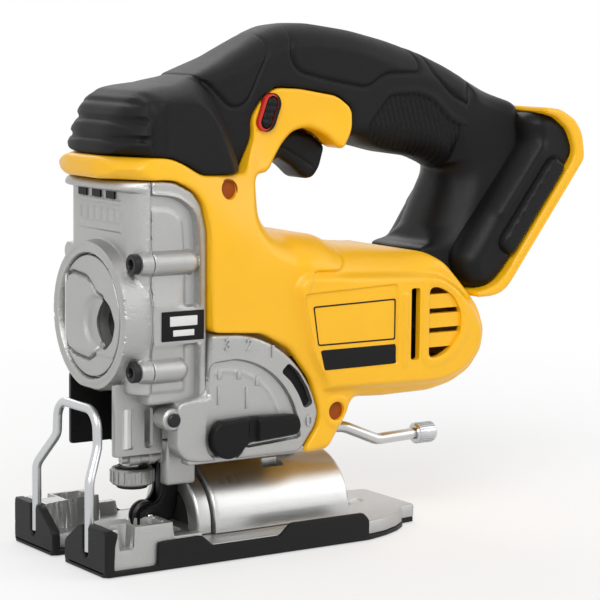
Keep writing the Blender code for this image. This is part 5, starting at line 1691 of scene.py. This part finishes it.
@dataclass
class Wires:
    """The finger guard and the bent bevel lever with its knurled knob."""

    radius: float = 1.85
    rod: float = 2.4

    def build(self) -> None:
        """Makes both wires and the knob."""
        near = [(1.95, 21.5, 7.2), (1.95, 21.5, 34), (8.4, 16.4, 46), (8.4, 15.6, 60)]
        corners = near + [(x, -y, z) for x, y, z in reversed(near)]
        base = line_mesh("guard_line", [place(*corner) for corner in corners])
        guard = grown(
            "finger_guard_wire", base, wire_tree(), Bend=0.0075, Radius=self.radius * MM,
            Material=WIRE.material()
        )
        settle(guard, WIRE, "shoe", "finger_guard")
        corners = [(105.5, -0.8, 42), (128, -10, 42), (145, -10, 35), (164.2, -10, 35.6)]
        base = line_mesh("lever_line", [place(*corner) for corner in corners])
        arm = grown(
            "bevel_rod", base, wire_tree(), Bend=0.009, Radius=self.rod * MM, Material=WIRE.material()
        )
        hub = turned(
            "bevel_hub", (104, 0, 0), "Z",
            [(35.1, 3.3), (35.1, 6.4), (35.7, 6.9), (44.2, 6.9), (44.9, 6.2), (44.9, 3.3), (35.1, 3.3)],
            40
        )
        settle(joined("bevel_arm", [arm, hub]), WIRE, "bevel_handle", "bevel_lever")
        self._knob()

    def _knob(self) -> None:
        """The knob, knurled by ribs repeated round it."""
        profile = [(-5, 0), (-5, 3.6), (-4.2, 4.2), (4.2, 4.2), (5, 3.6), (5, 0)]
        core = turned("knob_core", (0, 0, 0), "Z", profile, 44)
        core.data.transform(Matrix.Translation((HALF_LENGTH * MM, 0, 0)))
        mesh = core.data
        knob = grown("knurled_knob", mesh, ring_tree(), Count=26, Radius=4.15 * MM,
                     Size=(0.0007, 0.0006, 0.0082), Material=WIRE.material())
        bpy.data.objects.remove(core, do_unlink=True)
        knob.data.transform(
            Matrix.Translation(place(169.3, -10, 35.6)) @ Matrix.Rotation(math.pi / 2, 4, "Y")
        )
        settle(knob, WIRE, "bevel_handle", "lever_knob")


@dataclass
class Guards:
    """The slotted cast guard beside the clamp and the dark deflector opposite."""

    outline: Array = made_by(
        rounded,
        [(14.6, 41.5), (36, 41.5), (36, 61.6), (29, 61.6), (29, 70), (14.6, 70)],
        1,
    )

    def build(self) -> None:
        """Makes both plates."""
        slots = [
            rounded([(x, 44.0), (x + wide, 44.0), (x + wide, 60.0), (x, 60.0)], 1.8)
            for x, wide in ((18, 5.4), (27.8, 3.8))
        ]

        def height(points: Array, depth: Array) -> Array:
            """A flat plate with soft edges."""
            return 18.6 - rim_drop(depth, 0.5)

        guard = Relief("slotted_guard", self.outline, height, 16.4, holes=slots, spacing=0.9).build()
        settle(guard, CAST, "housing", "clamp_guard")
        window = rounded([(18.5, 45.5), (32, 45.5), (32, 59), (18.5, 59)], 1.5)

        def shield(points: Array, depth: Array) -> Array:
            """A dark shield with a sunk middle."""
            return 18.6 - 0.7 * ease(depth_in(points, window), 0.6) - rim_drop(depth, 0.5)

        made = Relief(
            "dust_deflector", self.outline, shield, 16.5, Facing.RIGHT, lines=[(window, True)]
        ).build()
        settle(made, MOULDED, "housing", "chip_deflector")


# ---------------------------------------------------------------- the shoe


@dataclass
class Shoe:
    """The cast shoe with its blocks and tail, the half-round quadrant and the nylon cover."""

    half: float = 35.8
    notch: float = 9.2
    plate_top: float = 7.2
    block_top: float = 18.0
    axis_z: float = 10.0
    round_radius: float = 23.0
    round_span: Pair = (58, 122.3)
    window: Array = made_by(rounded, [(86, -12.5), (97, -12.5), (97, -7), (89, -7)], 1.2)

    def _plan(self, front: float, half: float, grow: float) -> list[Pair]:
        """The left side of the plan from the front to the tail."""
        side = [
            (front, half), (122.5, half), (133.0, 33.4 + grow), (142.0, 29.0 + grow), (149.0, 23.6 + grow)
        ]
        return side + [(150.5, 19.4 + grow), (159.4, 18.2 + grow)]

    def _outline(self, front: float, half: float, grow: float, notch: float, back: float) -> Array:
        """The closed plan with the open blade notch."""
        side = self._plan(front, half, grow)
        slot = [
            (front, -notch), (back - 2.0, -notch), (back, -notch + 3), (back, notch - 3),
            (back - 2.0, notch), (front, notch)
        ]
        return rounded([*side, *[(x, -y) for x, y in reversed(side)], *slot], 1.2)

    def _plate(self) -> Piece:
        """The casting seen from above."""
        outline = self._outline(3.7, self.half, 0.0, self.notch, 51.5)

        def pair(radius: float, *corners: Pair) -> list[Array]:
            """The same rounded shape on both sides of the middle."""
            return [rounded([(x, side * y) for x, y in corners], radius) for side in (-1, 1)]

        blocks = pair(0.8, (3.6, 17.2), (24, 22.4), (31, 22.4), (31, 36), (3.6, 36))
        rails = pair(0.8, (30, 31.2), (44, 31.2), (44, 36), (30, 36))
        pockets = pair(1.0, (15.5, 21.5), (27.5, 23.6), (27.5, 33), (15.5, 33))
        nicks = pair(0.6, (6.8, 28.5), (13.6, 28.5), (13.6, 36.4), (6.8, 36.4))
        bosses = [circle((8.6, s * 22.6), 3.8, 30) for s in (-1, 1)]
        bars = [
            rounded([(x, -5.0), (x + 1.5, -5.0), (x + 1.5, 5.0), (x, 5.0)], 0.5)
            for x in (126.5, 130.5, 134.5)
        ]

        def most(points: Array, shapes: Sequence[Array], width: float) -> Array:
            """How far the points lie within any of the shapes."""
            return np.max([ease(depth_in(points, shape), width) for shape in shapes], axis=0)

        def height(points: Array, depth: Array) -> Array:
            """The plate with its raised blocks, side rails, pockets and tail details."""
            top = np.full(len(points), self.plate_top)
            top += (self.block_top - self.plate_top) * most(points, blocks, 0.7)
            top = np.maximum(top, self.plate_top + 5.2 * most(points, rails, 0.7))
            top -= 9.0 * most(points, pockets, 0.6) + 8.6 * most(points, nicks, 0.4)
            top += 0.5 * most(points, bars, 0.6) + 0.8 * ease(
                2.2 - np.hypot(points[:, 0] - 143.0, points[:, 1]), 0.6
            )
            rib = ease(
                1.0 - np.abs(np.abs(points[:, 1]) - 26.8), 0.6
            ) * ease(points[:, 0] - 53, 1) * ease(120 - points[:, 0], 1)
            return top + 0.9 * rib - rim_drop(depth, 0.6)

        lines = [(shape, True) for shape in blocks + rails + pockets + nicks + bosses + bars]
        return Relief("cast_shoe", outline, height, 2.0, Facing.UP, lines=lines, spacing=1.5).build()

    def _quadrant(self) -> Piece:
        """The smooth half-round with its window, behind a collar with a bore; the dark in the bore and the
        window is painted shade, added in build.
        """
        front, rear = self.round_span
        edge = self.round_radius - 0.15
        outline = np.array([(front, -edge), (rear, -edge), (rear, edge), (front, edge)])
        marks = [
            polyline([(x, -16.0), (x, -14.2)]) for x in (64, 68, 72)
        ] + [polyline([(62, -13.4), (74, -13.4)])]

        def height(points: Array, depth: Array) -> Array:
            """A half cylinder with softened ends and a few cut marks."""
            top = self.axis_z + np.sqrt(np.clip(self.round_radius**2 - points[:, 1] ** 2, 0.1, None))
            ends = np.minimum(points[:, 0] - front, rear - points[:, 0])
            away = np.min([distance_to(points, mark, closed=False) for mark in marks], axis=0)
            return top - rim_drop(ends, 1.4) - groove(away, 0.4, 0.5)

        steps = (0.15, 0.4, 0.8, 1.4, 2.2, 3.2)
        body = Relief("round_top", outline, height, 7.6, Facing.UP, holes=[self.window], rim_steps=steps,
                      lines=[
                          (mark, False) for mark in marks
                      ], line_steps=(-0.35, 0, 0.35), spacing=1.3).build()
        outer, bore = bend((0.0, self.axis_z), 21.0, -6, 186, 40), bend((0.0, self.axis_z), 12.5, 186, -6, 30)
        arch = np.array([(21, 7.6), *outer[1:-1], (-21, 7.6), (-12.5, 7.6), *bore[1:-1], (12.5, 7.6)])

        def arch_height(points: Array, depth: Array) -> Array:
            """The arch's front face with a soft edge."""
            return -51.0 - rim_drop(depth, 1.0)

        collar = Relief("arch", arch, arch_height, -56.8, Facing.FRONT, spacing=1.2).build()
        return joined("half_round", [body, collar])

    def _front_walls(self) -> list[Piece]:
        """The two upright walls with their sloping inner corners and open wire grooves."""
        made = []
        for side in (-1, 1):
            corners = [
                (37.3, 0.4), (37.3, 17.9), (23.5, 17.9), (23.5, 6.8), (22.6, 5.2), (20.4, 5.2),
                (19.5, 6.8), (19.5, 17.9),
                (16, 17), (5, 9.2), (4.8, 0.4),
            ]
            outline = rounded([(side * y, z) for y, z in corners], 0.7)

            def height(points: Array, depth: Array) -> Array:
                """A flat wall with soft edges."""
                return -0.05 - rim_drop(depth, 0.5)

            made.append(Relief("front_wall", outline, height, -3.4, Facing.FRONT, spacing=1.2).build())
        return made

    def _cover(self) -> Piece:
        """The sole, the skirts and the front walls."""
        sole = Relief(
            "sole", self._outline(0.05, 37.3, 0.6, 4.8, 52.0), lambda p, d: np.full(len(p), 1.7), 0.02,
            Facing.UP,
            spacing=3.0, rim_steps=(0.6,),
        ).build()
        skirt = rounded(
            [
                (0.1, 0.1), (0.1, 17.8), (3.6, 17.8), (6, 16.6), (4.6, 12), (4.2, 1.9), (23, 1.9),
                (23.4, 11.2),
                (43, 11.5), (48, 7), (79, 7), (84, 11.5), (119.5, 11.5), (122.5, 8.5), (122.5, 0.1),
            ],
            1.0,
        )

        def height(points: Array, depth: Array) -> Array:
            """A thin skirt with a soft edge."""
            return 37.45 - rim_drop(depth, 0.6)

        skirts = [
            Relief("skirt", skirt, height, 36.1, facing, spacing=1.4).build()
            for facing in (Facing.LEFT, Facing.RIGHT)
        ]
        return joined("nylon_cover", [sole, *skirts, *self._front_walls()])

    def build(self) -> None:
        """Makes the shoe's pieces."""
        settle(self._plate(), CAST, "shoe", "shoe_plate")
        settle(self._quadrant(), BRIGHT_CAST, "shoe", "bevel_quadrant")
        settle(self._cover(), COVER, "shoe", "shoe_cover")
        # A black cylinder in the half-round's bore and a black block behind its window are painted shade, not
        # parts of the tool.
        inner = turned(
            "quadrant_core", (0.0, 0.0, self.axis_z), "X",
            [(56.9, 0), (56.9, 12.3), (118, 12.3), (118, 0)], 48
        )
        for vertex in inner.data.vertices:
            vertex.co.z = max(vertex.co.z, 7.7 * MM)
        block = slab("window_backing", (84, -14, 24), (98.5, -6, 26.4), 0.4)
        settle(joined("dark_core", [inner, block]), MOULDED, "shoe")


@dataclass
class BladeEnd:
    """The blade clamp, its collar, and the guide bracket with its roller."""

    plunger_x: float = 33.0
    cross_z: float = 39.2
    cross_y: float = -12.6

    def build(self) -> None:
        """Makes the clamp and the guide."""
        x = self.plunger_x
        body = turned(
            "clamp_body", (x, 0.0, 0.0), "Z",
            [
                (25.1, 1.2), (25.1, 6), (25.6, 6.4), (33.4, 6.4), (33.9, 5.9), (33.9, 4.75), (29.4, 4.75),
                (29.4, 1.2), (25.1, 1.2)
            ],
            44,
        )
        cross = turned(
            "cross_lever", (0.0, self.cross_y, self.cross_z), "X",
            [
                (20.6, 0), (20.6, 1.7), (23.4, 1.7), (23.4, 2.8), (28, 2.8), (28.6, 2.2), (32.5, 2.2),
                (33, 2.8),
                (35.2, 2.8), (35.6, 2.1), (37.6, 2.1), (38, 2.8), (45.4, 2.8), (45.4, 0),
            ],
            40,
        )
        settle(body, BLACK_STEEL, "plunger", "blade_clamp")
        settle(cross, CAST)
        base = turned(
            "collar_base", (0, 0, 0), "Z",
            [(-3.2, 6.75), (-3.2, 8), (-2.6, 8.5), (2.6, 8.5), (3.2, 8), (3.2, 6.75), (-3.2, 6.75)], 48,
        )
        base.data.transform(Matrix.Translation((HALF_LENGTH * MM, 0, 0)))
        collar = grown("ribbed_collar", base.data, ring_tree(), Count=20, Radius=8.45 * MM,
                       Size=(0.0009, 0.0011, 0.0046), Material=CAST.material())
        bpy.data.objects.remove(base, do_unlink=True)
        collar.data.transform(Matrix.Translation(place(x, 0.0, 29.8)))
        settle(collar, CAST, "collar", "clamp_collar")
        self._guide()

    def _guide(self) -> None:
        """The curved black bracket and the grooved roller."""
        outline = rounded(
            [
                (43.2, 32.5), (44, 37), (47, 38.6), (50, 37), (51.2, 33.5), (51.2, 16), (48, 10.4),
                (38, 8.4), (34.6, 10), (34.2, 14.6), (37, 17.4), (42.5, 18.6), (44.6, 22), (44.9, 28),
            ],
            2.2,
        )
        boss = circle((38.5, 13), 2.6, 24)

        def height(points: Array, depth: Array) -> Array:
            """One cheek of the bracket with a boss round the roller's pin."""
            raised = 0.5 * ease(depth_in(points, boss), 0.5)
            return 5.0 + raised - rim_drop(depth, 0.9)

        cheeks = [
            Relief("cheek", outline, height, 2.9, facing, holes=[circle((38.5, 13), 1.7, 16)],
                   lines=[(boss, True)], spacing=0.9).build()
            for facing in (Facing.LEFT, Facing.RIGHT)
        ]
        web = slab("web", (44.9, -3.2, 12), (51, 3.2, 36), 1.4)
        settle(joined("guide_bracket", [*cheeks, web]), MOULDED, "blade_guide", "roller_arm")
        profile = [
            (-2.5, 1.7), (-2.5, 5.4), (-2, 6), (-0.9, 6), (-0.6, 4.9), (0.6, 4.9), (0.9, 6),
            (2, 6), (2.5, 5.4), (2.5, 1.7), (-2.5, 1.7)
        ]
        roller = turned("grooved_roller", (38.5, 0, 13), "Y", profile, 48)
        settle(roller, BLACK_STEEL, "roller", "guide_roller")
        pin = turned(
            "roller_axle", (38.5, 0, 13), "Y",
            [(-5.4, 0), (-5.4, 1.2), (-5.1, 1.5), (5.1, 1.5), (5.4, 1.2), (5.4, 0)], 24
        )
        settle(pin, STEEL, "blade_guide", "roller_pin")


# ---------------------------------------------------------------- the studio


@dataclass
class Studio:
    """A pale floor, soft lights and the camera."""

    eye: Triple = (-411.23, -773.77, 213.64)
    azimuth: float = 34.087
    pitch: float = 7.257
    roll: float = 0.613
    lens: float = 137.25
    key: float = 17.0
    fill: float = 6.0

    def build(self) -> None:
        """Makes the whole set."""
        self._camera()
        self._floor()
        self._world()
        self._light("key_light", (-0.9, -1.1, 1.3), 0.9, self.key)
        self._light("fill_light", (1.2, -0.9, 0.8), 1.1, self.fill)
        self._light("rim_light", (0.3, 1.3, 1.2), 0.9, self.fill)
        bpy.context.scene.view_settings.view_transform = "Standard"

    def _camera(self) -> None:
        """Places the camera by its eye point and three angles."""
        data = bpy.data.cameras.new("camera")
        data.lens = self.lens
        data.sensor_width = 36.0
        data.clip_end = 20.0
        camera = shown("camera", data)
        turn = (
            Matrix.Rotation(-math.radians(self.azimuth), 4, "Z")
            @ Matrix.Rotation(math.radians(90.0 - self.pitch), 4, "X")
            @ Matrix.Rotation(math.radians(self.roll), 4, "Z")
        )
        camera.matrix_world = Matrix.Translation(place(*self.eye)) @ turn
        bpy.context.scene.camera = camera

    def _floor(self) -> None:
        """A plain pale floor, a little below the sole."""
        points = np.array([(x, y, -0.0005) for x in (-6, 6) for y in (-6, 6)])
        floor = mesh_object("floor", points, [(0, 2, 3, 1)])
        made = bpy.data.materials.new("pale_floor")
        made.use_nodes = True
        shader = made.node_tree.nodes["Principled BSDF"]
        shader.inputs["Base Color"].default_value = (0.9, 0.9, 0.9, 1.0)
        shader.inputs["Roughness"].default_value = 0.9
        self._seen_white(made, shader.outputs[0])
        floor.data.materials.append(made)

    def _seen_white(self, made: bpy.types.Material, lit: Socket) -> None:
        """Lifts the floor towards white where the camera or a reflection sees it."""
        nodes, links = made.node_tree.nodes, made.node_tree.links
        path = nodes.new("ShaderNodeLightPath").outputs
        either = math_node(made.node_tree, "MAXIMUM", path["Is Camera Ray"], path["Is Glossy Ray"])
        place_on_floor = nodes.new("ShaderNodeTexCoord")
        reach = nodes.new("ShaderNodeVectorMath")
        reach.operation = "LENGTH"
        links.new(place_on_floor.outputs["Object"], reach.inputs[0])
        fade = nodes.new("ShaderNodeMapRange")
        fade.inputs["From Min"].default_value = 0.12
        fade.inputs["From Max"].default_value = 0.55
        fade.inputs["To Min"].default_value = 0.5
        fade.inputs["To Max"].default_value = 1.0
        links.new(reach.outputs["Value"], fade.inputs["Value"])
        share = math_node(made.node_tree, "MULTIPLY", either, fade.outputs["Result"])
        glow = nodes.new("ShaderNodeEmission")
        mixed = nodes.new("ShaderNodeMixShader")
        links.new(share, mixed.inputs[0])
        links.new(lit, mixed.inputs[1])
        links.new(glow.outputs[0], mixed.inputs[2])
        links.new(mixed.outputs[0], nodes["Material Output"].inputs["Surface"])

    def _world(self) -> None:
        """A soft white surround, brighter where the camera sees it."""
        world = bpy.data.worlds.new("surround")
        world.use_nodes = True
        nodes, links = world.node_tree.nodes, world.node_tree.links
        base = nodes["Background"]
        base.inputs["Color"].default_value = (1.0, 1.0, 1.0, 1.0)
        base.inputs["Strength"].default_value = 0.5
        seen = nodes.new("ShaderNodeBackground")
        seen.inputs["Color"].default_value = (1.0, 1.0, 1.0, 1.0)
        path = nodes.new("ShaderNodeLightPath").outputs
        glossy = math_node(world.node_tree, "MAXIMUM", path["Is Camera Ray"], path["Is Glossy Ray"])
        either = math_node(world.node_tree, "MAXIMUM", glossy, path["Is Transmission Ray"])
        mixed = nodes.new("ShaderNodeMixShader")
        links.new(either, mixed.inputs[0])
        links.new(base.outputs[0], mixed.inputs[1])
        links.new(seen.outputs[0], mixed.inputs[2])
        links.new(mixed.outputs[0], nodes["World Output"].inputs["Surface"])
        bpy.context.scene.world = world

    def _light(self, name: str, where: Triple, size: float, power: float) -> None:
        """One square soft light aimed at the tool's middle."""
        data = bpy.data.lights.new(name, "AREA")
        data.size = size
        data.energy = power
        lamp = shown(name, data)
        lamp.location = where
        lamp.rotation_euler = (Vector((0, 0, 0.1)) - Vector(where)).to_track_quat("-Z", "Y").to_euler()


def dress_packed_nodes() -> None:
    """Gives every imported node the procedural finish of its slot."""
    slots = {part["node"]: part["material_slot"] for part in frame["record"]["subparts"]}
    for name, node in frame["nodes"].items():
        finish = BY_SLOT[slots[name]]
        node.data.materials.clear()
        node.data.materials.append(finish.material())


def main() -> None:
    """Builds every piece and reports it."""
    logging.basicConfig(level=logging.INFO, format="%(message)s")
    Studio().build()
    dress_packed_nodes()
    for part in (
        Housing(), Handle(), Nose(), BatteryFoot(), Gearcase(), ReleaseLever(), OrbitalLever(),
        Controls(), Wires(), Guards(), Shoe(), BladeEnd()
    ):
        part.build()


if __name__ == "__main__":
    main()
